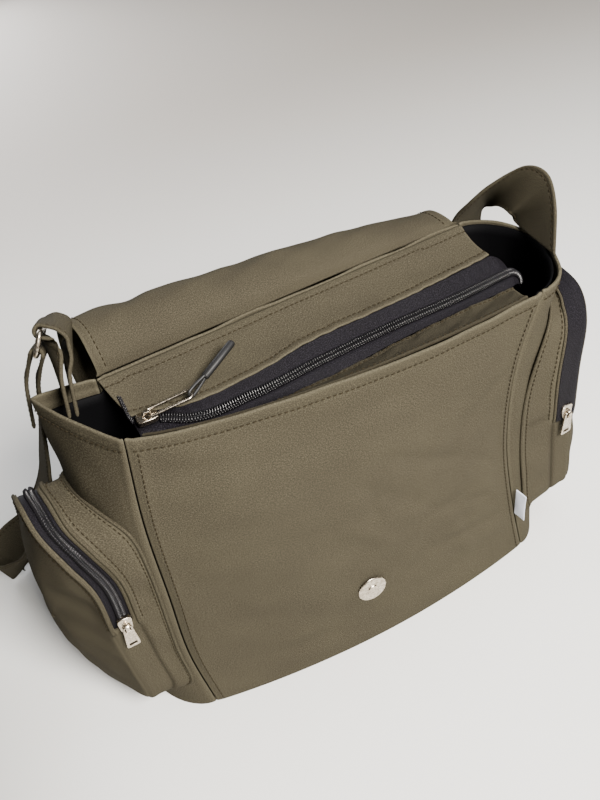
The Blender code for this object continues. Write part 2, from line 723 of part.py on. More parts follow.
def make_cord_pull(frame, tilt):
    """A short cord through the wire loop's end, and the moulded handle on it."""
    reach = LOOP_WIRE / 2 + CORD / 2 + 0.0005
    turn = [math.pi * (0.5 + i / 8) for i in range(9)]
    hook = [(reach * math.cos(a), 0.0, reach * math.sin(a)) for a in turn]
    leg = 0.013
    route = [(leg, 0.0, CORD * 0.35)] + [(0.004, 0.0, reach * 0.95)] + hook + [(0.004, 0.0, -reach * 0.95)]
    route += [(leg, 0.0, -CORD * 0.35)]
    handle = tube_mesh([(leg - 0.002 + CORD_HANDLE * share, 0.0, 0.0)
                        for share in (0.0, 0.04, 0.5, 0.96, 1.0)], 1.0, 8)
    for vertex in handle.verts:
        share = (vertex.co.x - leg + 0.002) / CORD_HANDLE
        thick = CORD_DIAMETER / 2 * (0.72 if share < 0.02 or share > 0.98 else 1.0)
        vertex.co.y *= thick
        vertex.co.z *= thick * 0.85
    at_end = (Matrix.Translation((0, 0, PIVOT_RISE)) @ Matrix.Rotation(tilt, 4, "Y")
              @ Matrix.Translation((LOOP_LENGTH, 0, 0)) @ Matrix.Rotation(CORD_TURN, 4, "Z")
              @ Matrix.Rotation(CORD_RISE, 4, "Y"))
    pieces = [handle, tube_mesh(route, CORD / 2, 6)]
    return union("zip_pull_cord", pieces, fabric("zip_pull_cord rubber", (0.012, 0.012, 0.013), 0.5),
                 frame @ at_end)


SLIDER_AT = 0.0075
PULL_TILT = math.radians(4.0)
LOOP_TILT = math.radians(-9.0)


def place_slider(prefix, line, up, forward):
    """Set a slider near the start of a zip, its coil past it, and its pull ahead or behind."""
    centre, lift, _ = along_line(line, up, [SLIDER_AT - SLIDER_LENGTH / 2, SLIDER_AT,
                                            SLIDER_AT + SLIDER_LENGTH / 2])
    along = centre[2] - centre[0]
    make_coil(f"{prefix}_coil", line, up, SLIDER_AT + SLIDER_LENGTH / 2 + GAP * 2)
    seat = (centre[0] + centre[2]) / 2 + lift[1] * (SLIDER_LIFT if forward else GAP * 2)
    frame = local_frame(seat, along if forward else -along, lift[1])
    make_slider(f"{prefix}_slider", frame)
    if forward:
        make_loop_pull(frame, LOOP_TILT)
        make_cord_pull(frame, LOOP_TILT)
    else:
        make_plate_pull(f"{prefix}_pull", frame, PULL_TILT)


# Flap

FLAP_COLUMNS = 15
FLAP_LINES = 20


def make_flap():
    """The flap, which rises from the top of the back panel, rolls over and hangs behind the bag."""
    shares = np.linspace(0, 1, FLAP_COLUMNS)
    rim = rim_line(BACK_LEFT, BACK_RIGHT, 0.0, FLAP_COLUMNS)
    length = np.array([row.length for row in FLAP_ROWS])
    at = np.concatenate([np.linspace(0, 0.34, 13), np.linspace(0.42, 1, FLAP_LINES - 13)])
    grid = np.zeros((len(at), FLAP_COLUMNS, 3))

    def column(field, scale):
        return smooth_curve(length, [getattr(row, field) for row in FLAP_ROWS], at) * scale

    for i, share in enumerate(shares):
        weights = np.array([(1 - share) * (1 - 2 * share), 4 * share * (1 - share), share * (2 * share - 1)])
        out = sum(w * column(f, BODY_DEPTH) for w, f in zip(weights, ("left_out", "mid_out", "right_out")))
        up = sum(w * column(f, BODY_HEIGHT) for w, f in zip(weights, ("left_up", "mid_up", "right_up")))
        x = (1 - share) * column("left_x", BODY_WIDTH) + share * column("right_x", BODY_WIDTH)
        grid[:, i] = np.column_stack([x, rim[i, 1] + out, rim[i, 2] + GAP + up])
        grid[0, i, 0] = rim[i, 0]
    normals = grid_normals(grid)
    sheet("flap", grid, grid + normals * FLAP * flap_side(normals), olive("flap"))
    return grid, normals


def flap_side(normals):
    """The sign that sends the flap's thickness inward, toward the bag at its root."""
    return -1.0 if normals[0, FLAP_COLUMNS // 2, 1] > 0 else 1.0


# Pockets

def side_point(side, across, height, lift):
    """A point on the outside of a gusset, by shares across and up it, lifted off it."""
    points = inward(ring(height), -lift)
    if side < 0:
        line = np.vstack([points[BACK_LEFT:], points[:1]])[::-1]
    else:
        line = points[FRONT_RIGHT:BACK_RIGHT + 1]
    at = across * SIDE_STEPS
    spot = [np.interp(at, np.arange(SIDE_STEPS + 1), line[:, i]) for i in range(2)]
    return np.array([*spot, height * BODY_HEIGHT])


def pocket_grid(side, rows):
    """Rings of the pocket: up its wall from the gusset to the rim of its face, then over the face."""
    count = len(rows)
    knots = np.arange(-2, count + 3)
    at = np.arange(POCKET_STEPS) * count / POCKET_STEPS

    def column(field):
        return smooth_curve(knots, [getattr(rows[k % count], field) for k in knots], at)

    across, height = column("across"), column("height")
    attach = np.array([side_point(side, a, h, POCKET_LIFT) for a, h in zip(across, height)])
    edge = np.array([place(*p) for p in zip(column("edge_x"), column("edge_y"), column("edge_z"))])
    length = np.linalg.norm(edge - attach, axis=1)[:, None]
    hem = edge + (attach - edge) * np.minimum(ZIP_MARGIN / length, 0.6)
    lines = [attach, attach * 0.55 + hem * 0.45, hem, (hem + edge) / 2, edge]
    centre = edge.mean(axis=0)
    for scale in (0.72, 0.42, 0.14):
        ringed = centre + (edge - centre) * scale
        ringed[:, 0] += side * POCKET_BELLY * (1 - scale ** 2)
        lines.append(ringed)
    grid = np.array(lines)
    normals = grid_normals(grid, closed=True)
    normals *= np.sign(np.mean(normals[-2:, :, 0]) * side)
    inner = grid - normals * POCKET_WALL
    shrink = 1 - POCKET_WALL / POCKET_HALF_WIDTH
    middle, level = across.mean(), height.mean()
    inner[0] = [side_point(side, middle + (a - middle) * shrink, level + (h - level) * (1 + shrink) / 2,
                           POCKET_LIFT) for a, h in zip(across, height)]
    return grid, inner, normals


def make_pocket(prefix, side, rows):
    """A side pocket: a hollow shell open towards the gusset, with a zip let into its edge."""
    grid, inner, normals = pocket_grid(side, rows)
    first = int(round(POCKET_ZIP_START * POCKET_STEPS))
    last = int(round(POCKET_ZIP_END * POCKET_STEPS))
    keep = np.ones((len(grid) - 1, POCKET_STEPS), bool)
    keep[2:4, first:last] = False
    capped_sheet(prefix, grid, inner, keep, olive(prefix))
    columns = np.arange(first, last + 1)
    tape = grid[2:5, columns] - normals[2:5, columns] * GAP
    under = tape - normals[2:5, columns] * TAPE
    border = dict(top=True, bottom=True, first=True, last=True)
    sheet(f"{prefix}_zip_tape", pull_in(tape, GAP, **border), pull_in(under, GAP, **border),
          black(f"{prefix}_zip_tape"))
    middle = pull_in(tape, GAP, **border)[1]
    place_slider(prefix, middle, normals[3, columns], forward=False)


def capped_sheet(name, outer, inner, keep, material):
    """A closed-ringed sheet whose last ring is filled on both sides."""
    thing = sheet(name, outer, inner, material, keep, closed=True)
    bm = bmesh.new()
    bm.from_mesh(thing.data)
    bm.verts.ensure_lookup_table()
    rims = [{tuple(np.round(p, 6)) for p in grid[-1]} for grid in (outer, inner)]
    walls = [f for f in bm.faces if all(tuple(np.round(v.co, 6)) in rims[0] | rims[1] for v in f.verts)]
    bmesh.ops.delete(bm, geom=walls, context="FACES_ONLY")
    open_edges = [e for e in bm.edges if e.is_boundary]
    bmesh.ops.edgeloop_fill(bm, edges=open_edges)
    bmesh.ops.recalc_face_normals(bm, faces=bm.faces)
    bm.to_mesh(thing.data)
    bm.free()


# Strap, its tab and ring

# One edge of the band and the way to it across the band. The tab: out of the left rim and up to the ring
TAB_ROWS = [
    StrapRow(-.573, .122, 1.013, (-.15, -.97, -.08)),
    StrapRow(-.558, .207, 1.095, (-.10, -.97, .10)),
    StrapRow(-.536, .317, 1.137, (-.06, -.95, .28)),
    StrapRow(-.538, .420, 1.160, (-.08, -.90, .42)),
    StrapRow(-.566, .500, 1.168, (-.12, -.85, .52)),
]
RING_DROP = (-0.50, -0.25, -0.85)
STRAP_SPAN = (.300, .640)

# The strap: from the ring down to the floor, round behind the bag and up to the right side
STRAP_ROWS = [
    StrapRow(-.612, .535, 1.057, (-.10, -.87, .48)),
    StrapRow(-.628, .575, .996, (-.06, -.89, .45)),
    StrapRow(-.648, .560, .876, (-.05, -.91, .40)),
    StrapRow(-.672, .545, .761, (.00, -.94, .33)),
    StrapRow(-.697, .560, .650, (.00, -.97, .24)),
    StrapRow(-.765, .720, .500, (-.05, -.95, .25)),
    StrapRow(-.815, .960, .355, (-.12, -.85, .45)),
    StrapRow(-.868, 1.200, .248, (-.20, -.65, .72)),
    StrapRow(-.912, 1.400, .190, (-.22, -.40, .88)),
    StrapRow(-.920, 1.640, .171, (-.12, .00, 1.0)),
    StrapRow(-.850, 1.850, .171, (.00, .10, 1.0)),
    StrapRow(-.700, 1.960, .168, (.00, .30, .95)),
    StrapRow(-.500, 2.020, .125, (.00, .80, .60)),
    StrapRow(-.300, 2.000, .040, (.00, 1.0, .12)),
    StrapRow(-.050, 1.960, .007, (.00, 1.0, .00)),
    StrapRow(.150, 1.940, .007, (.00, 1.0, .00)),
    StrapRow(.350, 1.880, .060, (-.30, .95, .10)),
    StrapRow(.480, 1.700, .230, (-.70, .70, .10)),
    StrapRow(.530, 1.450, .420, (-.90, .40, .10)),
    StrapRow(.530, 1.180, .600, (-1.0, .10, .05)),
    StrapRow(.528, .920, .760, (-1.0, -.14, .06)),
    StrapRow(.529, .780, .886, (-.95, -.28, .13)),
    StrapRow(.532, .660, .982, (-.80, -.36, .48)),
    StrapRow(.549, .540, 1.045, (-.62, -.50, .60)),
    StrapRow(.585, .440, 1.106, (-.32, -.54, .77)),
    StrapRow(.636, .290, 1.168, (.12, -.45, .88)),
    StrapRow(.655, .110, 1.168, (.30, -.48, .82)),
    StrapRow(.641, -.050, 1.110, (.14, -.80, .56)),
]
KEEPER_ROW = 3


def anchor(span):
    """The edge of the strap's end and the way across it, where it comes out of the right rim."""
    ends = np.array([side_point(1, across, 1.0, -WALL / 2) for across in span])
    ends[:, 2] += GAP * 4
    across = unit(ends[0] - ends[1])
    return ends.mean(axis=0) + across * STRAP_WIDTH / 2, across


def band(points, across, steps_per_row):
    """The two edge lines of a strap through its rows of near edge and way across."""
    knots = np.arange(len(points))
    at = np.linspace(0, len(points) - 1, (len(points) - 1) * steps_per_row + 1)
    near = smooth_curve(knots, np.array(points), at)
    way = unit(smooth_curve(knots, np.array(across), at))
    near[:, 2] = np.maximum(near[:, 2], FLOOR_CLEAR)
    steep = np.minimum(way[:, 2], (near[:, 2] - FLOOR_CLEAR) / STRAP_WIDTH)
    level = np.linalg.norm(way[:, :2], axis=1)
    way[:, :2] *= (np.sqrt(1 - steep ** 2) / level)[:, None]
    way[:, 2] = steep
    return near, way


def doubled(near, way, layers_end, gap):
    """Lead a band to its last point, round the ring's bar there and back along itself."""
    travel = unit(np.gradient(near - way * STRAP_WIDTH / 2, axis=0))
    face = unit(np.cross(travel, way))
    radius = RING_WIRE / 2 + GAP * 2 + STRAP / 2
    share = np.linspace(0, 1, len(near))[:, None] ** 2
    spread = (STRAP / 2 + gap) * (1 - share) + radius * share
    turns = np.linspace(0, math.pi, 9)[1:-1]
    past = unit(travel[-1] - np.dot(travel[-1], way[-1]) * way[-1])
    wrap = [near[-1] + radius * (math.cos(a) * face[-1] + math.sin(a) * past) for a in turns]
    out, back = near + face * spread, (near - face * spread)[::-1][:layers_end]
    lines = np.vstack([out, wrap, back])
    ways = np.vstack([way, np.repeat(way[-1:], len(wrap), axis=0), way[::-1][:layers_end]])
    return lines, ways


def make_strap():
    """The tab sewn inside the left rim, the ring in its fold, and the strap on to the right rim."""
    near, way = band([place(row.x, row.y, row.z) for row in TAB_ROWS],
                     [np.array(row.across) for row in TAB_ROWS], 3)
    line, ways = doubled(near, way, len(near), LAYER_GAP)
    ribbon("strap_tab", line, line - ways * STRAP_WIDTH, STRAP, olive("strap_tab"))
    drop = np.array(RING_DROP)
    drop = unit(drop - np.dot(drop, way[-1]) * way[-1])
    make_ring(near[-1], way[-1], drop)

    bar = near[-1] + drop * RING_REACH
    points = [bar] + [place(row.x, row.y, row.z) for row in STRAP_ROWS]
    ways_in = [way[-1]] + [np.array(row.across) for row in STRAP_ROWS]
    rim, rim_way = anchor(STRAP_SPAN)
    near, way = band(points + [rim], ways_in + [rim_way], 3)
    line, ways = doubled(near[::-1], way[::-1], KEEPER_ROW * 3, GAP)
    ribbon("strap", line, line - ways * STRAP_WIDTH, STRAP, olive("strap"))


def make_ring(top, axis, drop):
    """A flat wire ring: two long bars, one in the tab's fold and one in the strap's."""
    length = STRAP_WIDTH + 2.6 * RING_WIRE
    start = top + axis * 1.3 * RING_WIRE
    route = [start - axis * p[0] + drop * (p[1] + RING_REACH / 2)
             for p in loop_route(length, RING_REACH, 0.0030, 3)]
    tube("strap_ring", route, RING_WIRE / 2, 6, steel("strap_ring"), closed=True)


# Small pieces

def front_point(across, height, lift):
    """A point on the outside of the front panel, by shares across and up it, lifted off it."""
    points = inward(ring(height), -lift)
    at = across * FRONT_STEPS
    spot = [np.interp(at, np.arange(RING_STEPS), points[:, i]) for i in range(2)]
    return np.array([*spot, height * BODY_HEIGHT])


def disc(name, centre, out, radius, rise, material):
    """A low round button with a raised middle."""
    bm = bmesh.new()
    profile = [(0.0, radius), (rise * 0.35, radius), (rise * 0.6, radius * 0.92), (rise * 0.6, radius * 0.42),
               (rise, radius * 0.36)]
    loops = [[bm.verts.new((r * math.cos(a), r * math.sin(a), z))
              for a in [2 * math.pi * i / 20 for i in range(20)]] for z, r in profile]
    for low, high in zip(loops, loops[1:]):
        for i in range(20):
            bm.faces.new([low[i], low[(i + 1) % 20], high[(i + 1) % 20], high[i]])
    bm.faces.new(loops[0])
    bm.faces.new(loops[-1])
    thing = finish(name, bm, material, 35)
    thing.matrix_world = local_frame(centre, np.cross(out, (0.0, 0.0, 1.0)), out)
    return thing


def make_snap(flap, normals):
    """The socket low on the front panel, and the stud near the end of the flap."""
    height = SNAP_HEIGHT / BODY_HEIGHT
    step = 0.02
    seat = front_point(0.5, height, GAP * 2)
    slope = front_point(0.5, height + step, GAP * 2) - front_point(0.5, height - step, GAP * 2)
    out = unit(np.cross(front_point(0.53, height, 0.0) - front_point(0.47, height, 0.0), slope))
    disc("snap_socket", seat, out, SNAP_DIAMETER / 2, SNAP_RISE, steel("snap_socket"))
    middle = FLAP_COLUMNS // 2
    row = len(flap) - 3
    way = -normals[row, middle] * flap_side(normals)
    disc("snap_stud", flap[row, middle] + way * GAP * 2, way, SNAP_DIAMETER / 2, SNAP_RISE,
         steel("snap_stud"))


def make_tag():
    """The folded cloth tab caught in the right front seam."""
    height = TAG_CENTRE / BODY_HEIGHT
    root = front_point(1.0, height, TAG_LIFT)
    out = unit(np.array([0.35, -0.94, 0.0]))
    rise = np.array([0.0, 0.0, TAG_HEIGHT / 2])
    side = np.cross(out, (0.0, 0.0, 1.0))
    near = np.array([root - rise + out * t * TAG_WIDTH for t in (0.0, 0.5, 1.0)])
    far = near + 2 * rise
    ribbon("side_tag", near, far, TAG, fabric("side_tag cloth", (0.60, 0.61, 0.66)))


def main():
    """Clear the scene and build the bag."""
    for thing in list(bpy.data.objects):
        bpy.data.objects.remove(thing, do_unlink=True)
    make_walls()
    make_bottom_and_lining()
    make_facings_and_zip()
    flap, normals = make_flap()
    make_pocket("pocket_left", -1, LEFT_POCKET)
    make_pocket("pocket_right", 1, RIGHT_POCKET)
    make_strap()
    make_snap(flap, normals)
    make_tag()


main()
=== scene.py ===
"""Looks of a canvas shoulder bag with its flap thrown back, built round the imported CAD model.

Every cloth piece is a numpy grid of points, worked out from the same named sizes as the CAD solids,
with its own seams, hems, stitches and folds. Metres, +Z up, the bag's front faces -Y.
"""

import logging
import math
from collections import namedtuple
from dataclasses import dataclass, field
from enum import Enum

import bpy
import numpy as np
from mathutils import Matrix, Vector

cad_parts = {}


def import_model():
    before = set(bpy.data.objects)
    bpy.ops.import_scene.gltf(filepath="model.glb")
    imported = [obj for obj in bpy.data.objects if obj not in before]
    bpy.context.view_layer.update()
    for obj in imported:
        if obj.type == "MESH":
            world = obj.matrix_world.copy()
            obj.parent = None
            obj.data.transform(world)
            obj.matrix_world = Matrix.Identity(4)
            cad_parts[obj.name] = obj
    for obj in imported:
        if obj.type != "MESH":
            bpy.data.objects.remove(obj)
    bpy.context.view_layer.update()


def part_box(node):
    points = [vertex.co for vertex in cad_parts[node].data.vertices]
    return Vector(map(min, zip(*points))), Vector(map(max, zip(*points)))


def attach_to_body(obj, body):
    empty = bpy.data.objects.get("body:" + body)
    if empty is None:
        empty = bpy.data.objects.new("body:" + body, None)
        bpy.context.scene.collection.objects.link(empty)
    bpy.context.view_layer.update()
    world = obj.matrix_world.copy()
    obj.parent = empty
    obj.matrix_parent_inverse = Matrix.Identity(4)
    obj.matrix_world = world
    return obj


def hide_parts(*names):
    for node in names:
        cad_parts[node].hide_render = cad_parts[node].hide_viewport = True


LOG = logging.getLogger("shoulder_bag")

BODY_WIDTH = 0.240
BODY_DEPTH = 0.082
BODY_HEIGHT = 0.226
WALL = 0.0020
GAP = 0.0003
LINING_GAP = 0.0010
LINING_DROP = 0.0090
RIM_RISE = 0.010
ZIP_SAG = 0.018
STRAP_WIDTH = 0.038
STRAP = 0.0022
THREAD = 0.00033
MM = 0.001


class Body(Enum):
    """The CAD bodies that pieces ride on."""

    BAG = "bag"
    MAIN_PULL = "main_pull"


class Side(Enum):
    """The two ends of the bag, by the sign of their X."""

    LEFT = -1
    RIGHT = 1


# Small array helpers

def unit(vectors: np.ndarray) -> np.ndarray:
    """Scale each vector of an array to length one."""
    return vectors / np.maximum(np.linalg.norm(vectors, axis=-1, keepdims=True), 1e-12)


def smooth_curve(knots: np.ndarray, values: np.ndarray, at: np.ndarray) -> np.ndarray:
    """Read a cubic Hermite curve whose slopes are the neighbours' mean slopes.

    Args:
        knots: rising positions of the values.
        values: one value or vector a knot.
        at: where to read.

    Returns:
        The curve's values at each place.
    """
    knots, values, at = (np.asarray(a, float) for a in (knots, values, at))
    slopes = np.gradient(values, knots, axis=0)
    i = np.clip(np.searchsorted(knots, at, side="right") - 1, 0, len(knots) - 2)
    span = knots[i + 1] - knots[i]
    t = (at - knots[i]) / span
    shape = (slice(None),) + (None,) * (values.ndim - 1)
    t, span = t[shape], span[shape]
    return ((2 * t**3 - 3 * t**2 + 1) * values[i] + (t**3 - 2 * t**2 + t) * span * slopes[i]
            + (3 * t**2 - 2 * t**3) * values[i + 1] + (t**3 - t**2) * span * slopes[i + 1])


def bell(distance: np.ndarray, width: float) -> np.ndarray:
    """A Gaussian hump: 1 at distance 0, about a third at one width."""
    return np.exp(-(distance / width) ** 2)


def ramp(value: np.ndarray, low: float, high: float) -> np.ndarray:
    """A smooth step from 0 at low to 1 at high."""
    t = np.clip((value - low) / (high - low), 0, 1)
    return t * t * (3 - 2 * t)


def turned_edge(distance: np.ndarray, width: float, rise: float, groove: float, groove_width: float = 0.0009,
                soft: float = 0.0008) -> np.ndarray:
    """Relief of cloth turned under along an edge: raised up to the turn's width, with a groove beside it."""
    return (rise * (1 - ramp(distance, width - soft, width + soft))
            - groove * bell(distance - width, groove_width))


def stations(length: float, margin: float, fine: float, coarse: float) -> np.ndarray:
    """Shares of a length from 0 to 1, close together near both ends and further apart between them."""
    edge = np.arange(0, margin, fine)
    middle = np.linspace(margin, length - margin, max(2, round((length - 2 * margin) / coarse)))
    return np.concatenate([edge, middle, (length - edge)[::-1]]) / length


def mottle(u: np.ndarray, v: np.ndarray, scale: float, seed: int, waves: int = 7) -> np.ndarray:
    """Soft random relief: a sum of sine waves in random directions, about -1 to 1.

    Args:
        u, v: metres along the cloth.
        scale: the mean wavelength in metres.
        seed: picks the directions and phases.
        waves: how many are summed.

    Returns:
        The height at each point, before it is scaled.
    """
    draw = np.random.default_rng(seed)
    turn, phase = draw.uniform(0, 2 * math.pi, (2, waves))
    pitch = scale * draw.uniform(0.6, 1.6, waves)
    wave = np.sin(2 * math.pi * (u[..., None] * np.cos(turn) + v[..., None] * np.sin(turn)) / pitch + phase)
    return wave.sum(axis=-1) / math.sqrt(waves) / 1.4


Crease = namedtuple("Crease", "u0 v0 u1 v1 width depth")


def creases(u: np.ndarray, v: np.ndarray, rows: list[Crease]) -> np.ndarray:
    """Folds in cloth: each is a Gaussian valley across a line that fades in and out along it.

    Args:
        u, v: metres along the cloth.
        rows: each fold's ends, width and depth in millimetres; a negative depth is a ridge.

    Returns:
        The relief in metres.
    """
    total = np.zeros_like(u)
    for row in rows:
        start, end = np.array([row.u0, row.v0]) * MM, np.array([row.u1, row.v1]) * MM
        along = (end - start) / np.linalg.norm(end - start)
        du, dv = u - start[0], v - start[1]
        t = (du * along[0] + dv * along[1]) / np.linalg.norm(end - start)
        across = du * -along[1] + dv * along[0]
        fade = ramp(t, -0.15, 0.3) * (1 - ramp(t, 0.7, 1.15))
        total -= row.depth * MM * bell(across, row.width * MM) * fade
    return total


def grid_normals(grid: np.ndarray, closed: bool = False) -> np.ndarray:
    """Unit normals of a grid from central differences along its rows and columns."""
    rows = np.gradient(grid, axis=0)
    if closed:
        columns = np.roll(grid, -1, axis=1) - np.roll(grid, 1, axis=1)
    else:
        columns = np.gradient(grid, axis=1)
    return unit(np.cross(columns, rows))


def normals_toward(grid: np.ndarray, toward: tuple[float, float, float], closed: bool = False) -> np.ndarray:
    """A grid's unit normals, or their opposites, whichever face the given way on the whole."""
    normals = grid_normals(grid, closed)
    return normals * (1.0 if np.sum(normals @ np.array(toward)) > 0 else -1.0)


def walked(line: np.ndarray) -> np.ndarray:
    """The length walked along a line of points at each of them."""
    return np.concatenate([[0], np.cumsum(np.linalg.norm(np.diff(line, axis=0), axis=1))])


def round_travel(path: np.ndarray) -> np.ndarray:
    """The unit direction of travel at each point of a closed path."""
    return unit(np.roll(path, -1, axis=0) - np.roll(path, 1, axis=0))


def rounded_rectangle(half: np.ndarray, bend: float, steps: int) -> np.ndarray:
    """Points round a rectangle with rounded corners, centred on the origin.

    Args:
        half: half its width and half its height.
        bend: the corners' radius.
        steps: points on each corner.

    Returns:
        Four corners' points, as N by 2.
    """
    turn = np.linspace(0, math.pi / 2, steps)
    arcs = []
    for quarter in range(4):
        spin = quarter * math.pi / 2
        signs = [math.copysign(1, way(spin + math.pi / 4)) for way in (math.cos, math.sin)]
        arc = np.column_stack([np.cos(turn + spin), np.sin(turn + spin)]) * bend
        arcs.append(arc + (half - bend) * signs)
    return np.vstack(arcs)


# Colours and materials

def linear(code: str) -> tuple[float, float, float, float]:
    """Turn an sRGB hex colour such as 7a6d54 into linear values with alpha 1."""
    parts = np.array([int(code[i:i + 2], 16) for i in (0, 2, 4)]) / 255
    low, high = parts / 12.92, ((parts + 0.055) / 1.055) ** 2.4
    return (*np.where(parts <= 0.04045, low, high).tolist(), 1.0)


def add(tree: bpy.types.NodeTree, kind: str, links: dict | None = None, **settings) -> bpy.types.Node:
    """Add one node to a tree.

    Args:
        tree: the material's tree.
        kind: the node's type, without its ShaderNode prefix.
        links: input name or index to a value or to another node's output.
        settings: properties of the node.

    Returns:
        The new node.
    """
    node = tree.nodes.new("ShaderNode" + kind)
    for name, value in settings.items():
        setattr(node, name, value)
    for key, value in (links or {}).items():
        socket = node.inputs[key]
        if isinstance(value, bpy.types.NodeSocket):
            tree.links.new(value, socket)
        else:
            socket.default_value = value
    return node


def graded(tree: bpy.types.NodeTree, factor: bpy.types.NodeSocket, stops: list[tuple[float, str]]):
    """A colour ramp through hex colours at the given places; returns its colour socket."""
    node = add(tree, "ValToRGB", {"Fac": factor})
    elements = node.color_ramp.elements
    while len(elements) < len(stops):
        elements.new(0.5)
    for element, (place, code) in zip(elements, stops):
        element.position, element.color = place, linear(code)
    return node.outputs["Color"]


def mixed(tree: bpy.types.NodeTree, factor, first, second, how: str = "MIX"):
    """Mix two colours by a factor; returns the colour socket."""
    node = add(tree, "Mix", {0: factor, 6: first, 7: second}, data_type="RGBA", blend_type=how)
    return node.outputs[2]


def new_material(name: str) -> tuple[bpy.types.Material, bpy.types.NodeTree, bpy.types.Node]:
    """Make a material with nodes; returns it with its tree and its main shader."""
    made = bpy.data.materials.new(name)
    made.use_nodes = True
    return made, made.node_tree, made.node_tree.nodes["Principled BSDF"]


SEAM_SHADE = "16130d"


@dataclass(frozen=True)
class Woven:
    """Woven cloth: threads over and under each other, which give a fine grain and soft mottling.

    pitch is the thread spacing in metres, drawn coarser than real so that it shows.
    """

    name: str
    dark: str
    body: str
    pale: str
    pitch: float = 0.00062
    grain: float = 0.42
    relief: float = 0.00006
    roughness: float = 0.92
    gloss: float = 0.04
    wear: float = 0.28
    blotch: float = 0.05
    slub: float = 0.00046
    worn: str = "6a6048"

    def material(self) -> bpy.types.Material:
        """Build the node material; u and v of the piece's own map are metres along its threads."""
        made, tree, shader = new_material(self.name)
        place = add(tree, "TexCoord")
        threads = [add(tree, "TexWave", {"Vector": place.outputs["UV"], "Scale": 0.314 / self.pitch,
                                         "Distortion": 0.9, "Detail": 2.0, "Detail Scale": 2.0},
                       wave_type="BANDS", bands_direction=way).outputs["Fac"] for way in ("X", "Y")]
        weave = add(tree, "Math", {0: threads[0], 1: threads[1]}, operation="MULTIPLY").outputs[0]
        fine, long = 1 / self.slub, 0.55 / self.slub
        slubs = []
        for scale in ((fine, long, 1.0), (long, fine, 1.0)):
            spread = add(tree, "Mapping", {"Vector": place.outputs["UV"], "Scale": scale})
            slubs.append(add(tree, "TexNoise", {"Vector": spread.outputs[0], "Scale": 1.0, "Detail": 2.0,
                                                "Roughness": 0.65}).outputs["Fac"])
        speck = add(tree, "Math", {0: slubs[0], 1: slubs[1]}, operation="ADD").outputs[0]
        blotch = add(tree, "TexNoise", {"Vector": place.outputs["Object"], "Scale": 1 / self.blotch,
                                        "Detail": 4.0, "Roughness": 0.6}).outputs["Fac"]
        patch = add(tree, "MapRange", {"Value": blotch, "From Min": 0.25, "From Max": 0.75}).outputs[0]
        ground = mixed(tree, patch, linear(self.body), linear(self.worn))
        light, heavy = (add(tree, "MapRange", {"Value": speck, "From Min": low, "From Max": high,
                                               "To Max": self.grain}).outputs[0]
                        for low, high in ((0.98, 1.22), (1.0, 0.78)))
        grained = mixed(tree, light, ground, linear(self.pale))
        grained = mixed(tree, heavy, grained, linear(self.dark))
        worn = add(tree, "Attribute", attribute_name="wear")
        rubbed = add(tree, "Math", {0: worn.outputs["Fac"], 1: speck}, operation="MULTIPLY").outputs[0]
        strength = add(tree, "Math", {0: rubbed, 1: self.wear}, operation="MULTIPLY", use_clamp=True)
        faded = mixed(tree, strength.outputs[0], grained, linear(self.pale))
        shade = add(tree, "Attribute", attribute_name="shade")
        final = mixed(tree, shade.outputs["Fac"], faded, linear(SEAM_SHADE))
        tree.links.new(final, shader.inputs["Base Color"])
        height = add(tree, "Math", {0: weave, 1: speck}, operation="MULTIPLY_ADD").outputs[0]
        bump = add(tree, "Bump", {"Height": height, "Distance": self.relief, "Strength": 1.0})
        tree.links.new(bump.outputs[0], shader.inputs["Normal"])
        shader.inputs["Roughness"].default_value = self.roughness
        shader.inputs["Specular IOR Level"].default_value = self.gloss
        return made


@dataclass(frozen=True)
class Plated:
    """Nickel plate over cast metal, polished in a barrel, so soft-edged, bright and faintly clouded."""

    name: str
    colour: str = "c9bfae"
    roughness: float = 0.24

    def material(self) -> bpy.types.Material:
        """Build the node material."""
        made, tree, shader = new_material(self.name)
        place = add(tree, "TexCoord")
        cloud = add(tree, "TexNoise", {"Vector": place.outputs["Object"], "Scale": 700.0, "Detail": 3.0})
        shader.inputs["Metallic"].default_value = 1.0
        tint = graded(tree, cloud.outputs["Fac"], [(0.35, "9a8f80"), (0.65, self.colour)])
        tree.links.new(tint, shader.inputs["Base Color"])
        dull = add(tree, "MapRange", {"Value": cloud.outputs["Fac"], "To Min": self.roughness - 0.08,
                                      "To Max": self.roughness + 0.14})
        tree.links.new(dull.outputs[0], shader.inputs["Roughness"])
        return made


@dataclass(frozen=True)
class Moulded:
    """Moulded nylon or rubber: one dark colour with a satin skin and a slight grain."""

    name: str
    colour: str
    roughness: float = 0.4
    bump: float = 0.00003

    def material(self) -> bpy.types.Material:
        """Build the node material."""
        made, tree, shader = new_material(self.name)
        place = add(tree, "TexCoord")
        grain = add(tree, "TexNoise", {"Vector": place.outputs["Object"], "Scale": 1800.0, "Detail": 2.0})
        tint = mixed(tree, grain.outputs["Fac"], linear(self.colour), linear("242322"))
        soft = mixed(tree, 0.35, linear(self.colour), tint)
        tree.links.new(soft, shader.inputs["Base Color"])
        relief = add(tree, "Bump", {"Height": grain.outputs["Fac"], "Distance": self.bump, "Strength": 1.0})
        tree.links.new(relief.outputs[0], shader.inputs["Normal"])
        shader.inputs["Roughness"].default_value = self.roughness
        return made


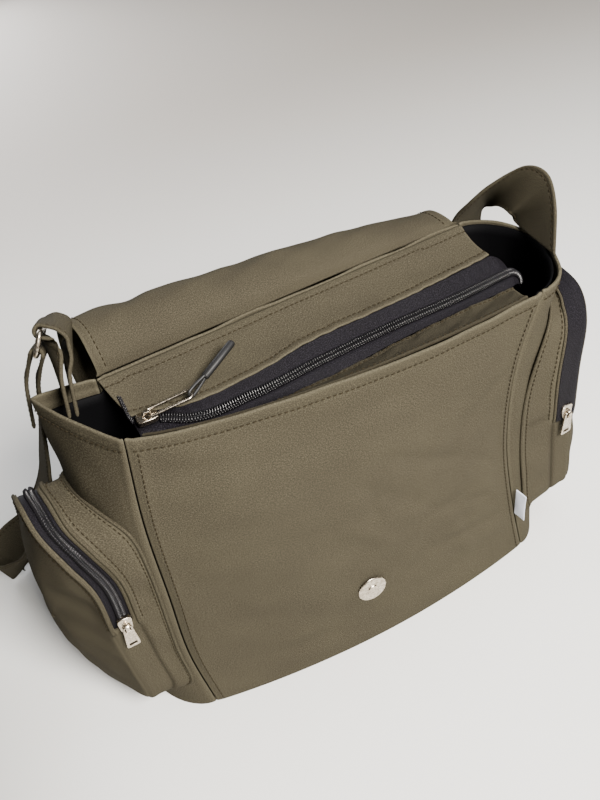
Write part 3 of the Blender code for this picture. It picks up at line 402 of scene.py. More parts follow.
@dataclass(frozen=True)
class Finishes:
    """Every finish on the bag, made once."""

    canvas: Woven = Woven("olive_cotton_canvas", "191812", "353128", "676251", worn="3c382d")
    black_cloth: Woven = Woven("black_polyester_lining", "030304", "060607", "121114", worn="070708",
                               pitch=0.0007, grain=0.2, relief=0.00004, roughness=0.65)
    tape: Woven = Woven("black_zip_tape", "070608", "100f11", "36333a", worn="141316",
                        pitch=0.0009, grain=0.45, relief=0.00015, roughness=0.6)
    label: Woven = Woven("pale_grey_woven_tape", "a9adb8", "bcc0cb", "d6d8de", worn="c4c8d2", pitch=0.0008)
    thread: Woven = Woven("olive_sewing_thread", "1c1810", "29241a", "4a4334", worn="2c261b",
                          pitch=0.0005, relief=0.00003)
    nickel: Plated = Plated("polished_nickel_plate")
    coil: Moulded = Moulded("black_nylon_coil", "141316", 0.26)
    rubber: Moulded = Moulded("black_moulded_rubber", "060607", 0.5)

    def make(self) -> dict[str, bpy.types.Material]:
        """Build each material; returns them by field name."""
        return {name: getattr(self, name).material() for name in self.__dataclass_fields__}


# Meshes

@dataclass
class Cloth:
    """A piece of cloth as a grid of points on its outer face, with a thickness behind it."""

    name: str
    grid: np.ndarray
    thickness: float
    toward: tuple[float, float, float]
    closed: bool = False
    keep: np.ndarray | None = None
    wear: np.ndarray | None = None
    shade: np.ndarray | None = None
    flat_map: tuple[np.ndarray, np.ndarray] | None = None

    def lengths(self) -> tuple[np.ndarray, np.ndarray]:
        """Metres along the columns and up the rows, measured along the grid's middle lines."""
        if self.flat_map is not None:
            return self.flat_map
        rows, columns = self.grid.shape[:2]
        return np.meshgrid(walked(self.grid[rows // 2]), walked(self.grid[:, columns // 2]))

    def build(self) -> bpy.types.Object:
        """Make the mesh: the outer face, the inner face a thickness behind it, and a strip round each edge.

        Returns:
            The object, with its map in metres and its wear and shade attributes.
        """
        grid = self.grid
        rows, columns = grid.shape[:2]
        cells = columns if self.closed else columns - 1
        normals = normals_toward(grid, self.toward, self.closed)
        flip = np.sum(normals * grid_normals(grid, self.closed)) < 0
        inner = grid - normals * self.thickness
        index = np.arange(rows * columns).reshape(rows, columns)
        right = np.roll(index, -1, axis=1)[:, :cells]
        a, b, c, d = index[:-1, :cells], right[:-1], right[1:], index[1:, :cells]
        keep = np.ones((rows - 1, cells), bool) if self.keep is None else self.keep
        back = rows * columns
        outer_faces = np.stack([a, b, c, d], axis=-1)[keep]
        inner_faces = outer_faces[:, ::-1] + back
        below = np.vstack([np.zeros((1, cells), bool), keep[:-1]])
        above = np.vstack([keep[1:], np.zeros((1, cells), bool)])
        if self.closed:
            before, after = np.roll(keep, 1, axis=1), np.roll(keep, -1, axis=1)
        else:
            before = np.hstack([np.zeros((rows - 1, 1), bool), keep[:, :-1]])
            after = np.hstack([keep[:, 1:], np.zeros((rows - 1, 1), bool)])
        strips = []
        for edge, start, end in ((keep & ~below, a, b), (keep & ~after, b, c), (keep & ~above, c, d),
                                 (keep & ~before, d, a)):
            strips.append(np.stack([end, start, start + back, end + back], axis=-1)[edge])
        faces = np.vstack([outer_faces, inner_faces, *strips])
        if flip:
            faces = faces[:, ::-1]
        u, v = self.lengths()
        attributes = {"wear": self.wear, "shade": self.shade}
        doubled = {key: np.tile(value.ravel(), 2) for key, value in attributes.items() if value is not None}
        return mesh_object(self.name, np.vstack([grid.reshape(-1, 3), inner.reshape(-1, 3)]), faces,
                           np.tile(np.column_stack([u.ravel(), v.ravel()]), (2, 1)), doubled)


def mesh_object(name: str, points: np.ndarray, faces: np.ndarray, flat: np.ndarray | None = None,
                attributes: dict[str, np.ndarray] | None = None) -> bpy.types.Object:
    """Put arrays into a new mesh object, smooth shaded, and drop the points that no face uses.

    Args:
        name: the piece's name.
        points: N by 3.
        faces: M by 4 indices.
        flat: N by 2 map in metres, or nothing.
        attributes: one number a point, by name.

    Returns:
        The object, at the origin.
    """
    used = np.unique(faces)
    renumber = np.zeros(len(points), int)
    renumber[used] = np.arange(len(used))
    mesh = bpy.data.meshes.new(name)
    mesh.from_pydata(points[used], [], renumber[faces].tolist())
    if flat is not None:
        corner = np.zeros(len(mesh.loops), int)
        mesh.loops.foreach_get("vertex_index", corner)
        mesh.uv_layers.new(name="UVMap").data.foreach_set("uv", flat[used][corner].ravel().astype(np.float32))
    for key in ("wear", "shade"):
        layer = mesh.attributes.new(key, "FLOAT", "POINT")
        if attributes and key in attributes:
            layer.data.foreach_set("value", attributes[key][used].astype(np.float32))
    mesh.shade_smooth()
    mesh.validate()
    piece = bpy.data.objects.new(name, mesh)
    bpy.context.scene.collection.objects.link(piece)
    return piece


def sweep(name: str, path: np.ndarray, across: np.ndarray, up: np.ndarray, profile: np.ndarray,
          closed_path: bool = False) -> bpy.types.Object:
    """Carry a closed profile along a path.

    Args:
        name: the piece's name.
        path: N by 3 points.
        across, up: N by 3 unit vectors of each section's plane.
        profile: P by 2 (or N by P by 2) places across and up.
        closed_path: joins the last section to the first; otherwise the ends are closed to a point.

    Returns:
        The object, with its map in metres.
    """
    profile = np.broadcast_to(profile, (len(path), *profile.shape[-2:]))
    points = path[:, None] + profile[..., :1] * across[:, None] + profile[..., 1:] * up[:, None]
    if not closed_path:
        points = np.concatenate([np.repeat(path[:1, None], points.shape[1], axis=1), points,
                                 np.repeat(path[-1:, None], points.shape[1], axis=1)])
    count, sides = points.shape[:2]
    index = np.arange(count * sides).reshape(count, sides)
    ahead = np.roll(index, -1, axis=0) if closed_path else index[1:]
    here = index if closed_path else index[:-1]
    faces = np.stack([here, np.roll(here, -1, axis=1), np.roll(ahead, -1, axis=1), ahead], axis=-1)
    centre = np.repeat(points.mean(axis=1, keepdims=True), sides, axis=1)
    edge = np.cross(np.roll(points, -1, axis=1) - points, np.gradient(points, axis=0))
    if np.sum(edge * (points - centre)) < 0:
        faces = faces[..., ::-1]
    u, v = np.meshgrid(walked(points[1]), walked(points[:, 0]))
    return mesh_object(name, points.reshape(-1, 3), faces.reshape(-1, 4),
                       np.column_stack([u.ravel(), v.ravel()]))


def circle(radius: float, sides: int = 12, squash: float = 1.0) -> np.ndarray:
    """A round profile, squashed in its second axis."""
    turn = np.linspace(0, 2 * math.pi, sides, endpoint=False)
    return np.column_stack([np.cos(turn), np.sin(turn) * squash]) * radius


def evenly(line: np.ndarray, values: np.ndarray, pitch: float) -> tuple[np.ndarray, np.ndarray]:
    """Read a line and vectors along it at even steps of about one pitch."""
    reach = walked(line)
    at = np.linspace(0, reach[-1], max(3, round(reach[-1] / pitch) + 1))
    read = [np.column_stack([np.interp(at, reach, v[:, i]) for i in range(3)]) for v in (line, values)]
    return read[0], unit(read[1])


STITCH_LENGTH = 0.0024
STITCH_PITCH = 0.0034


def seam_row(grid: np.ndarray, normals: np.ndarray, index: tuple) -> tuple[np.ndarray, np.ndarray]:
    """A row of stitches' line, a thread above the cloth at some of its points, and the normals there."""
    return grid[index] + normals[index] * THREAD, normals[index]


def nearest(values: np.ndarray, target: float) -> int:
    """The index of the value closest to a target."""
    return int(np.argmin(np.abs(values - target)))


def stitch_rows(name: str, rows: list[tuple[np.ndarray, np.ndarray]], radius: float = THREAD
                ) -> bpy.types.Object:
    """Rows of lockstitches: each a small spindle that lies on the cloth and dips in at both ends.

    Args:
        name: the piece's name.
        rows: for each row its line on the cloth and the cloth's normals along it.
        radius: half the thread's thickness.

    Returns:
        One object with every stitch.
    """
    starts, ways, lifts = [], [], []
    for line, normals in rows:
        places, lift = evenly(line, normals, STITCH_PITCH)
        starts.append((places[1:] + places[:-1]) / 2)
        ways.append(unit(np.diff(places, axis=0)))
        lifts.append(unit(lift[1:] + lift[:-1]))
    middle, way, lift = np.vstack(starts), np.vstack(ways), np.vstack(lifts)
    side = unit(np.cross(lift, way))
    share = np.array([-0.5, -0.36, 0.0, 0.36, 0.5])
    girth = np.array([0.05, 0.8, 1.0, 0.8, 0.05]) * radius
    height = np.array([-0.6, 0.3, 0.8, 0.3, -0.6]) * radius
    turn = np.linspace(0, 2 * math.pi, 6, endpoint=False)
    spine = (middle[:, None] + way[:, None] * (share * STITCH_LENGTH)[:, None]
             + lift[:, None] * height[:, None])
    points = (spine[:, :, None] + side[:, None, None] * (girth[:, None] * np.cos(turn))[..., None]
              + lift[:, None, None] * (girth[:, None] * np.sin(turn))[..., None])
    index = np.arange(points[..., 0].size).reshape(points.shape[:3])
    here, ahead = index[:, :-1], index[:, 1:]
    faces = np.stack([here, np.roll(here, -1, axis=2), np.roll(ahead, -1, axis=2), ahead], axis=-1)
    return mesh_object(name, points.reshape(-1, 3), faces.reshape(-1, 4)[:, ::-1],
                       np.zeros((points[..., 0].size, 2)))


@dataclass
class Piece:
    """What a sub-assembly needs to finish an object: its finishes and its log."""

    finishes: dict[str, bpy.types.Material]

    def dress(self, thing: bpy.types.Object, finish: str, slot: str, replaces: tuple[str, ...] = (),
              smooth: int = 0, body: Body = Body.BAG) -> bpy.types.Object:
        """Give a piece its finish, its place in the frame and a subdivision if it has one.

        Args:
            thing: the object.
            finish: the name of its material.
            slot: not used.
            replaces: the CAD nodes it stands for.
            smooth: levels of subdivision.
            body: the CAD body it rides on.

        Returns:
            The same object.
        """
        thing.data.materials.clear()
        thing.data.materials.append(self.finishes[finish])
        if smooth:
            layer = thing.modifiers.new("round_edges", "SUBSURF")
            layer.levels = layer.render_levels = smooth
        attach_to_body(thing, body.value)
        if replaces:
            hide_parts(*replaces)
        LOG.info("%s: %d faces", thing.name, len(thing.data.polygons))
        return thing

    def sew(self, name: str, rows: list[tuple[np.ndarray, np.ndarray]]) -> None:
        """Add a piece's rows of stitches."""
        self.dress(stitch_rows(f"{name}_stitches", rows), "thread", "canvas")


# The body

DENT_LIMIT = 0.0014
FOLD_GAIN = 1.35
LINING_SETBACK = 0.0007

Section = namedtuple("Section", "height front_left front_bow front_right right_bulge back_right "
                                "back_bow back_left left_bulge")
SECTIONS = [
    Section(0.00, (-.508, -.470), .15, (.502, -.500), (.612, .020), (.500, .560), .05, (-.500, .545),
            (-.640, .090)),
    Section(0.20, (-.530, -.385), .20, (.474, -.450), (.622, .030), (.503, .545), .07, (-.500, .530),
            (-.637, .110)),
    Section(0.50, (-.530, -.366), .20, (.446, -.410), (.628, .040), (.505, .530), .06, (-.497, .500),
            (-.637, .200)),
    Section(0.80, (-.525, -.335), .17, (.456, -.440), (.645, .060), (.510, .545), .04, (-.494, .470),
            (-.640, .310)),
    Section(1.00, (-.505, -.285), .13, (.497, -.488), (.636, .080), (.512, .561), .00, (-.492, .451),
            (-.638, .400)),
]
BULGE_FULLNESS = 0.45
BULGE_ROUNDNESS = 0.55
MOUTH_PULL = 0.70
MOUTH_FOOT = 0.75
MOUTH_EASE = 1.3
CORNER_RISE = 0.60
MOUTH_RISE = 0.55


def corners_at(heights: np.ndarray) -> dict[str, np.ndarray]:
    """The section table read at many shares of the height, in metres."""
    knots = np.array([row.height for row in SECTIONS])
    scale = np.array([BODY_WIDTH, BODY_DEPTH])
    read = {}
    for name in Section._fields[1:]:
        column = np.array([np.atleast_1d(getattr(row, name)) for row in SECTIONS], float)
        value = smooth_curve(knots, column, heights)
        read[name] = value * scale if value.shape[1] == 2 else value[:, 0] * BODY_DEPTH
    return read


def bowed(start: np.ndarray, end: np.ndarray, bow: np.ndarray, t: np.ndarray) -> np.ndarray:
    """A front or back edge: the straight line plus an outward bow that follows a sine to the power 0.8."""
    along = end - start
    outward = np.stack([along[:, 1], -along[:, 0]], axis=1) / np.linalg.norm(along, axis=1, keepdims=True)
    rise = bow[:, None] * np.sin(math.pi * t).clip(0) ** 0.8
    return start[:, None] + t[:, None] * along[:, None] + outward[:, None] * rise[..., None]


def cubic(p0: np.ndarray, p1: np.ndarray, p2: np.ndarray, p3: np.ndarray, t: np.ndarray) -> np.ndarray:
    """A cubic Bezier arc for each row of points, at the shares t."""
    t = t[None, :, None]
    p0, p1, p2, p3 = (p[:, None] for p in (p0, p1, p2, p3))
    return (1 - t)**3 * p0 + 3 * t * (1 - t)**2 * p1 + 3 * t**2 * (1 - t) * p2 + t**3 * p3


def bulged(start: np.ndarray, bulge: np.ndarray, end: np.ndarray, t: np.ndarray,
           slack: np.ndarray | float = 1.0) -> np.ndarray:
    """A gusset edge: a Bezier arc out to its bulge and one back, drawn straighter where slack is below 1."""
    out = np.array([1.0, 0.0])
    deep = np.array([0.0, 1.0])
    first = cubic(start, start + BULGE_FULLNESS * out * (bulge - start)[:, :1],
                  bulge - BULGE_ROUNDNESS * deep * (bulge - start)[:, 1:], bulge, np.clip(2 * t, 0, 1))
    slack = np.broadcast_to(slack, len(bulge))[:, None]
    second = cubic(bulge, bulge + BULGE_ROUNDNESS * slack * deep * (end - bulge)[:, 1:],
                   end + BULGE_FULLNESS * slack * out * (bulge - end)[:, :1], end, np.clip(2 * t - 1, 0, 1))
    return np.where(t[None, :, None] < 0.5, first, second)


class Wall(Enum):
    """The four walls, in the order that they follow each other round the body."""

    FRONT = "front_panel"
    RIGHT = "gusset_right"
    BACK = "back_panel"
    LEFT = "gusset_left"


def wall_grid(wall: Wall, shares: np.ndarray, heights: np.ndarray) -> np.ndarray:
    """Points of one wall's outer face, by shares along it and up it."""
    s = corners_at(heights)
    slack = 1 - MOUTH_PULL * ((heights - MOUTH_FOOT) / (1 - MOUTH_FOOT)).clip(0) ** MOUTH_EASE
    flat, rise = {
        Wall.FRONT: lambda: (bowed(s["front_left"], s["front_right"], s["front_bow"], shares),
                             CORNER_RISE * (1 - shares) ** 5),
        Wall.RIGHT: lambda: (bulged(s["front_right"], s["right_bulge"], s["back_right"], shares), 0 * shares),
        Wall.BACK: lambda: (bowed(s["back_right"], s["back_left"], s["back_bow"], shares), 0 * shares),
        Wall.LEFT: lambda: (bulged(s["back_left"], s["left_bulge"], s["front_left"], shares, slack),
                            CORNER_RISE * shares ** 1.5 + MOUTH_RISE * np.sin(math.pi * shares)),
    }[wall]()
    lift = RIM_RISE * rise[None] * (((heights - 0.6) / 0.4).clip(0) ** 2)[:, None]
    return np.concatenate([flat, (heights[:, None] * BODY_HEIGHT + lift)[..., None]], axis=-1)


def rim_line(wall: Wall, distance: float, shares: np.ndarray) -> np.ndarray:
    """The rim of a wall, moved inward by a distance."""
    grid = wall_grid(wall, shares, np.array([0.98, 1.0]))
    outward = normals_toward(grid, tuple(np.append(grid[1, :, :2].mean(axis=0), 0.0)))
    outward[..., 2] = 0
    return grid[1] - unit(outward[1]) * distance


FRONT_FOLDS = [
    Crease(118, 152, 172, 100, 4, 1.3), Crease(138, 162, 205, 122, 5, 1.2), Crease(168, 98, 226, 72, 4, 1.3),
    Crease(160, 62, 230, 46, 5, 1.5), Crease(120, 40, 178, 64, 4, 1.1), Crease(195, 150, 232, 175, 5, 1.1),
    Crease(60, 190, 150, 205, 7, 0.9), Crease(10, 205, 70, 196, 6, 0.9), Crease(30, 30, 110, 20, 7, 1.1),
    Crease(110, 118, 150, 80, 6, -1.0), Crease(185, 80, 200, 20, 5, -1.0), Crease(205, 120, 228, 100, 4, 1.2),
    Crease(60, 26, 150, 40, 6, 1.2), Crease(128, 140, 134, 112, 3, 0.9), Crease(150, 90, 205, 92, 4, 0.9),
    Crease(140, 30, 220, 22, 6, 1.3), Crease(215, 90, 232, 60, 4, -0.9), Crease(20, 110, 40, 60, 8, 0.8),
]
GUSSET_FOLDS = [
    Crease(20, 205, 45, 170, 6, 1.0), Crease(60, 215, 50, 180, 6, 0.9), Crease(75, 205, 62, 172, 5, -0.8),
    Crease(12, 175, 30, 196, 5, 0.8),
]
BACK_FOLDS = [Crease(60, 160, 150, 110, 8, 0.8), Crease(180, 180, 120, 140, 8, 0.7)]
WallCut = namedtuple("WallCut", "width toward seed")
WALL_CUTS = {
    Wall.FRONT: WallCut(0.240, (0, -1, 0), 11),
    Wall.RIGHT: WallCut(0.110, (1, 0, 0), 23),
    Wall.BACK: WallCut(0.242, (0, 1, 0), 31),
    Wall.LEFT: WallCut(0.100, (-1, 0, 0), 47),
}


@dataclass
class Shell(Piece):
    """The canvas walls, bottom and lining, with seams at the corners and hems at the rim."""

    seam: float = 0.0022
    hem: float = 0.0070
    topstitch: float = 0.0048
    folds: dict[Wall, list[Crease]] = field(default_factory=lambda: {
        Wall.FRONT: FRONT_FOLDS, Wall.RIGHT: GUSSET_FOLDS, Wall.BACK: BACK_FOLDS, Wall.LEFT: GUSSET_FOLDS})

    def wall(self, wall: Wall, width: float, toward: tuple[float, float, float], seed: int) -> None:
        """Build one wall: its grid, pushed in at the corner seams and out at the rim's hem, then folded."""
        shares = stations(width, 0.011, 0.0013, 0.0036)
        heights = stations(BODY_HEIGHT, 0.012, 0.0013, 0.0036)
        grid = wall_grid(wall, shares, heights)
        normals = normals_toward(grid, toward)
        u, v = np.meshgrid(shares * width, heights * BODY_HEIGHT)
        side = np.minimum(u, width - u)
        rim = BODY_HEIGHT - v
        away = ramp(side, 0.002, 0.018) * ramp(v, 0.0, 0.02)
        relief = -0.0004 * bell(side, self.seam) + 0.0005 * bell(side - 0.0045, 0.0022)
        relief += turned_edge(rim, self.hem, 0.0006, 0.0004)
        relief += away * (0.0009 * mottle(u, v, 0.075, seed) + 0.00045 * mottle(u, v, 0.026, seed + 1))
        relief += away * FOLD_GAIN * creases(u, v, self.folds[wall])
        relief *= ramp(v, -0.001, 0.004)
        relief = np.where(relief < 0, DENT_LIMIT * np.tanh(relief / DENT_LIMIT), relief)
        grid = grid + normals * relief[..., None]
        rim_share = ramp(v, BODY_HEIGHT - 0.02, BODY_HEIGHT)
        grid[..., 2] += rim_share * 0.0009 * mottle(u, u * 0 + seed, 0.05, seed + 2, 4)
        wear = bell(side, 0.0016) + bell(rim, 0.0012) + 0.35 * bell(rim - self.hem, 0.001)
        shade = 0.10 * bell(side, 0.0008)
        cloth = Cloth(f"{wall.value}_cloth", grid, WALL, toward, wear=wear, shade=shade, flat_map=(u, v))
        self.dress(cloth.build(), "canvas", "canvas", (wall.value,), smooth=1)
        self.stitches(wall, grid, normals, u, v, width)

    def stitches(self, wall: Wall, grid: np.ndarray, normals: np.ndarray, u: np.ndarray, v: np.ndarray,
                 width: float) -> None:
        """Sew the hem's row below the rim and a topstitch row beside each corner seam."""
        row = nearest(v[:, 0], BODY_HEIGHT - self.hem)
        lines = [seam_row(grid, normals, np.s_[row, 2:-2])]
        for edge in ((self.topstitch, width - self.topstitch) if wall is Wall.FRONT else ()):
            lines.append(seam_row(grid, normals, np.s_[2:row, nearest(u[0], edge)]))
        self.sew(wall.value, lines)

    def bottom(self) -> None:
        """The bottom panel: the body's outline shrunk ring by ring to its middle."""
        shares = np.linspace(0, 1, 25)[:-1]
        outline = np.concatenate([wall_grid(w, shares, np.array([0.0]))[0] for w in
                                  (Wall.FRONT, Wall.RIGHT, Wall.BACK, Wall.LEFT)])
        centre = outline.mean(axis=0)
        scale = np.array([0.02, 0.25, 0.5, 0.75, 0.9, 1.0])[:, None, None]
        grid = centre + (outline - centre - unit(outline - centre) * (WALL + GAP)) * scale
        grid[..., 2] = 0.0
        cloth = Cloth("bottom_cloth", grid, WALL, (0, 0, -1), closed=True)
        self.dress(cloth.build(), "canvas", "canvas", ("bottom_panel",))

    def lining(self) -> None:
        """The lining: the walls' own outline moved in, hanging in soft vertical folds, with a flat floor."""
        shares = np.linspace(0, 1, 37)[:-1]
        climb = np.linspace(0, 1, 34)
        sides = []
        for wall, cut in WALL_CUTS.items():
            drop = 0.0018 if wall in (Wall.RIGHT, Wall.BACK) else LINING_DROP
            low, high = (WALL + GAP) / BODY_HEIGHT, 1 - drop / BODY_HEIGHT
            grid = wall_grid(wall, shares, low + (high - low) * climb)
            sides.append(grid - normals_toward(grid, cut.toward) * (1, 1, 0)
                         * (WALL + LINING_GAP + LINING_SETBACK))
        grid = np.concatenate(sides, axis=1)
        round_it = np.linspace(0, 1, grid.shape[1], endpoint=False)
        middle = grid.mean(axis=1, keepdims=True)
        fold = 0.5 + 0.5 * np.sin(2 * math.pi * round_it * 23 + 2 * np.sin(2 * math.pi * round_it * 3))
        depth = 0.0022 * np.sin(math.pi * climb)[:, None] * fold
        grid = grid - unit((grid - middle) * (1, 1, 0)) * depth[..., None]
        floor = middle[:1] + (grid[:1] - middle[:1]) * np.array([0.02, 0.3, 0.6, 0.85])[:, None, None]
        floor[..., 2] = grid[0, :, 2].min()
        grid = np.concatenate([floor, grid])
        normals = grid_normals(grid, True)
        outward = np.sign(np.sum(normals[10] * (grid[10] - grid[10].mean(axis=0))))
        cloth = Cloth("lining_cloth", grid, 0.001, tuple((normals[8, 0] * outward).tolist()), closed=True)
        self.dress(cloth.build(), "black_cloth", "lining_cloth", ("lining",))

    def build(self) -> None:
        """Build every part of the shell."""
        for wall, cut in WALL_CUTS.items():
            self.wall(wall, *cut)
        self.bottom()
        self.lining()


# The zipped top

ZipRow = namedtuple("ZipRow", "x back_y back_drop coil_y coil_drop front_y front_drop")
ZIP_ROWS = [
    ZipRow(-.460, .120, .62, .042, .78, -.080, .96),
    ZipRow(-.405, .070, .56, .025, .78, -.150, 1.0),
    ZipRow(-.350, .000, .50, -.080, .78, -.200, 1.0),
    ZipRow(-.200, -.015, .45, -.115, .78, -.205, 1.0),
    ZipRow(.000, .085, .45, -.067, .78, -.190, 1.0),
    ZipRow(.200, .105, .45, -.036, .78, -.135, 1.0),
    ZipRow(.380, .146, .45, -.030, .78, -.115, 1.0),
    ZipRow(.520, .190, .45, .000, .78, -.100, 1.0),
]
FACING_TRIM = 0.035
FACING_LENGTH = 0.24
COIL_PITCH = 0.0015
COIL_STEPS = 6
COIL_SEAT = 0.0048
COIL_UNDERSIDE = -0.0002
TAPE_TAIL = 0.020
SLIDER_LENGTH = 0.0140


def zip_line(name: str, shares: np.ndarray) -> np.ndarray:
    """One line of the zip's table, read at shares of its length."""
    x = np.array([row.x for row in ZIP_ROWS])
    at = x[0] + (x[-1] - x[0]) * shares
    y = smooth_curve(x, [getattr(row, name + "_y") for row in ZIP_ROWS], at)
    drop = smooth_curve(x, [getattr(row, name + "_drop") for row in ZIP_ROWS], at)
    return np.column_stack([at * BODY_WIDTH, y * BODY_DEPTH, BODY_HEIGHT - drop * ZIP_SAG])


def coil_chain(name: str, line: np.ndarray, up: np.ndarray, width: float, height: float,
               start: float = 0.0, half: int = 0) -> bpy.types.Object:
    """The closed teeth: a low bar whose two halves are ribbed out of step, one rib to each turn of the coil.

    Args:
        name: the piece's name.
        line: the middle of the tape.
        up: the tape's normals along it.
        width: across both halves.
        height: of the ribs.
        start: metres of line to leave out first.
        half: 0 for both halves, or -1 or 1 for one only.

    Returns:
        The object.
    """
    fine, lift = evenly(line, up, COIL_PITCH / COIL_STEPS)
    skip = int(start / (COIL_PITCH / COIL_STEPS))
    fine, lift = fine[skip:], lift[skip:]
    across = unit(np.cross(np.gradient(fine, axis=0), lift))
    walk = np.arange(len(fine)) / COIL_STEPS
    place = np.array([-0.5, -0.46, -0.3, -0.14, -0.05, 0.0, 0.05, 0.14, 0.3, 0.46, 0.5])
    body = np.array([0.0, 0.45, 0.8, 0.85, 0.72, 0.62, 0.72, 0.85, 0.8, 0.45, 0.0])
    phase = np.where(place < 0, 0.0, 0.5)
    rib = 0.5 + 0.5 * np.cos(2 * math.pi * (walk[:, None] + phase))
    amount = np.array([0.0, 0.35, 0.5, 0.5, 0.3, 0.0, 0.3, 0.5, 0.5, 0.35, 0.0])
    tops = height * (body + (rib - 0.5) * amount * 2.4)
    spread = width * place * (1 + 0.26 * (rib - 0.5) * (np.abs(place) > 0.4))
    if half:
        spread = spread * 0.5 + half * width * 0.25
    below = spread[:, ::-1][:, 3:8:2]
    profile = np.concatenate([np.stack([spread, tops], axis=-1),
                              np.stack([below, np.full_like(below, COIL_UNDERSIDE)], axis=-1)], axis=1)
    return sweep(name, fine, across, lift, profile)


@dataclass
class ZippedTop(Piece):
    """The two facings, the tape between them and its teeth."""

    seam_strip: float = 0.0052
    zip_hem: float = 0.0045
    columns: int = 110
    facing_thickness: float = 0.0014
    tape_thickness: float = 0.0008
    teeth_width: float = 0.0062
    teeth_height: float = 0.0023

    def facing(self, name: str, wall: Wall, reverse: bool, trim: float, field_name: str, sag: float,
               seed: int) -> None:
        """A strip of canvas from the rim down to the zip: a seam strip at one edge, a hem at the other."""
        shares = np.linspace(0, 1, self.columns)
        along = trim + shares * (1 - 2 * trim)
        rim = rim_line(wall, WALL + GAP, (1 - along) if reverse else along)
        edge = zip_line(field_name, shares)
        across = stations(0.03, 0.0075, 0.0011, 0.0016)
        mix = across[:, None, None]
        grid = rim[None] * (1 - mix) + edge[None] * mix
        grid[..., 2] -= sag * np.sin(math.pi * mix[..., 0])
        normals = normals_toward(grid, (0, 0, 1))
        u = np.broadcast_to((shares * FACING_LENGTH)[None], grid.shape[:2])
        width = np.linalg.norm(edge - rim, axis=1)[None]
        v = mix[..., 0] * width
        from_zip = width - v
        ends = np.minimum(u, FACING_LENGTH - u)
        relief = turned_edge(v, self.seam_strip, 0.0006, 0.0004, 0.0008) - 0.0007 * bell(v, 0.0009)
        relief += turned_edge(from_zip, self.zip_hem, 0.0005, 0.00035)
        relief += 0.0004 * mottle(u, v, 0.02, seed) * ramp(v, 0.003, 0.012)
        pucker = np.sin(2 * math.pi * u / 0.011 + 3 * np.sin(u / 0.03))
        relief += 0.00025 * pucker * bell(from_zip - 0.003, 0.004)
        relief += 0.0004 * bell(ends - 0.003, 0.002)
        grid = grid + normals * relief[..., None]
        wear = bell(v, 0.0012) * 0.5 + bell(from_zip, 0.001) + bell(ends, 0.0012)
        shade = 0.75 * bell(v, 0.0008) + 0.25 * bell(v - self.seam_strip, 0.0006)
        cloth = Cloth(f"{name}_cloth", grid, self.facing_thickness, (0, 0, 1), wear=wear, shade=shade,
                      flat_map=(u, v))
        self.dress(cloth.build(), "canvas", "canvas", (name,), smooth=1)
        rows = []
        for target, distance in ((self.seam_strip, v), (self.zip_hem, from_zip)):
            share = np.abs(distance - target).argmin(axis=0)
            rows.append(seam_row(grid, normals, (share, np.arange(self.columns))))
        self.sew(name, rows)

    def tape(self) -> tuple[np.ndarray, np.ndarray]:
        """The tape: flat under the coil, rising to both facings, with a tail that curls down past its end.

        Returns:
            The coil's line and the tape's normals along it.
        """
        shares = np.linspace(0, 1, 150)
        front, coil, back = (zip_line(name, shares) for name in ("front", "coil", "back"))
        seats = []
        for edge in (front, back):
            away = (edge - coil) * (1, 1, 0)
            reach = np.linalg.norm(away, axis=1, keepdims=True)
            seats.append(coil + away / reach * np.minimum(COIL_SEAT, reach * 0.72))
        ribs = np.array([front, seats[0], coil, seats[1], back])
        grid = smooth_curve(np.arange(5), ribs, np.linspace(0, 4, 21))
        tail = []
        for turn in np.linspace(0.05, 1.0, 12):
            distance = turn * TAPE_TAIL
            narrow = 1 - 0.5 * turn
            shift = np.array([distance * (1 - 0.35 * turn), 0.004 * turn, -0.013 * turn ** 1.6])
            tail.append(coil[-1] + (grid[:, -1] - coil[-1]) * narrow + shift)
        grid = np.concatenate([grid, np.stack(tail, axis=1)], axis=1)
        grid = grid - normals_toward(grid, (0, 0, 1)) * 0.0006
        cloth = Cloth("zip_tape_cloth", grid, self.tape_thickness, (0, 0, 1))
        u, v = cloth.lengths()
        normals = normals_toward(grid, (0, 0, 1))
        cloth.grid = grid + normals * (0.00035 * np.sin(2 * math.pi * u / 0.0075)
                                       * bell(np.abs(v - v.mean()) - 0.008, 0.004))[..., None]
        self.dress(cloth.build(), "tape", "zip_cloth", ("zip_tape",), smooth=1)
        return grid[10], normals[10]

    def teeth(self, line: np.ndarray, up: np.ndarray) -> None:
        """The closed teeth past the slider, and the open back half along the facing's slanted end."""
        chain = coil_chain("zip_teeth", line + up * 0.0006, up, self.teeth_width, self.teeth_height,
                           start=SLIDER_LENGTH)
        self.dress(chain, "coil", "zip_cloth", ("zip_coil",))
        rim = rim_line(Wall.BACK, WALL + GAP, np.array([0.96, 0.97]))[1]
        start = zip_line("back", np.array([0.0]))[0]
        t = np.linspace(0, 0.5, 24)[:, None]
        slant = start + (rim - start) * t + np.array([-0.0016, 0, 0]) - np.array([0, 0, 0.0012])
        lead = line[:1] + (slant[:1] - line[:1]) * np.linspace(0, 0.98, 20)[:, None]
        path = np.concatenate([lead + np.array([0, 0, 0.0003]), slant])
        upward = np.tile((0.0, 0.0, 1.0), (len(path), 1))
        open_half = coil_chain("zip_teeth_open_half", path, upward, 0.0040, 0.0013, start=0.003, half=1)
        self.dress(open_half, "coil", "zip_cloth")

    def build(self) -> None:
        """Build the zipped top."""
        self.facing("facing_back", Wall.BACK, True, 0.0, "back", 0.002, 3)
        self.facing("facing_front", Wall.FRONT, False, FACING_TRIM, "front", 0.001, 5)
        line, up = self.tape()
        self.teeth(line, up)


# The flap

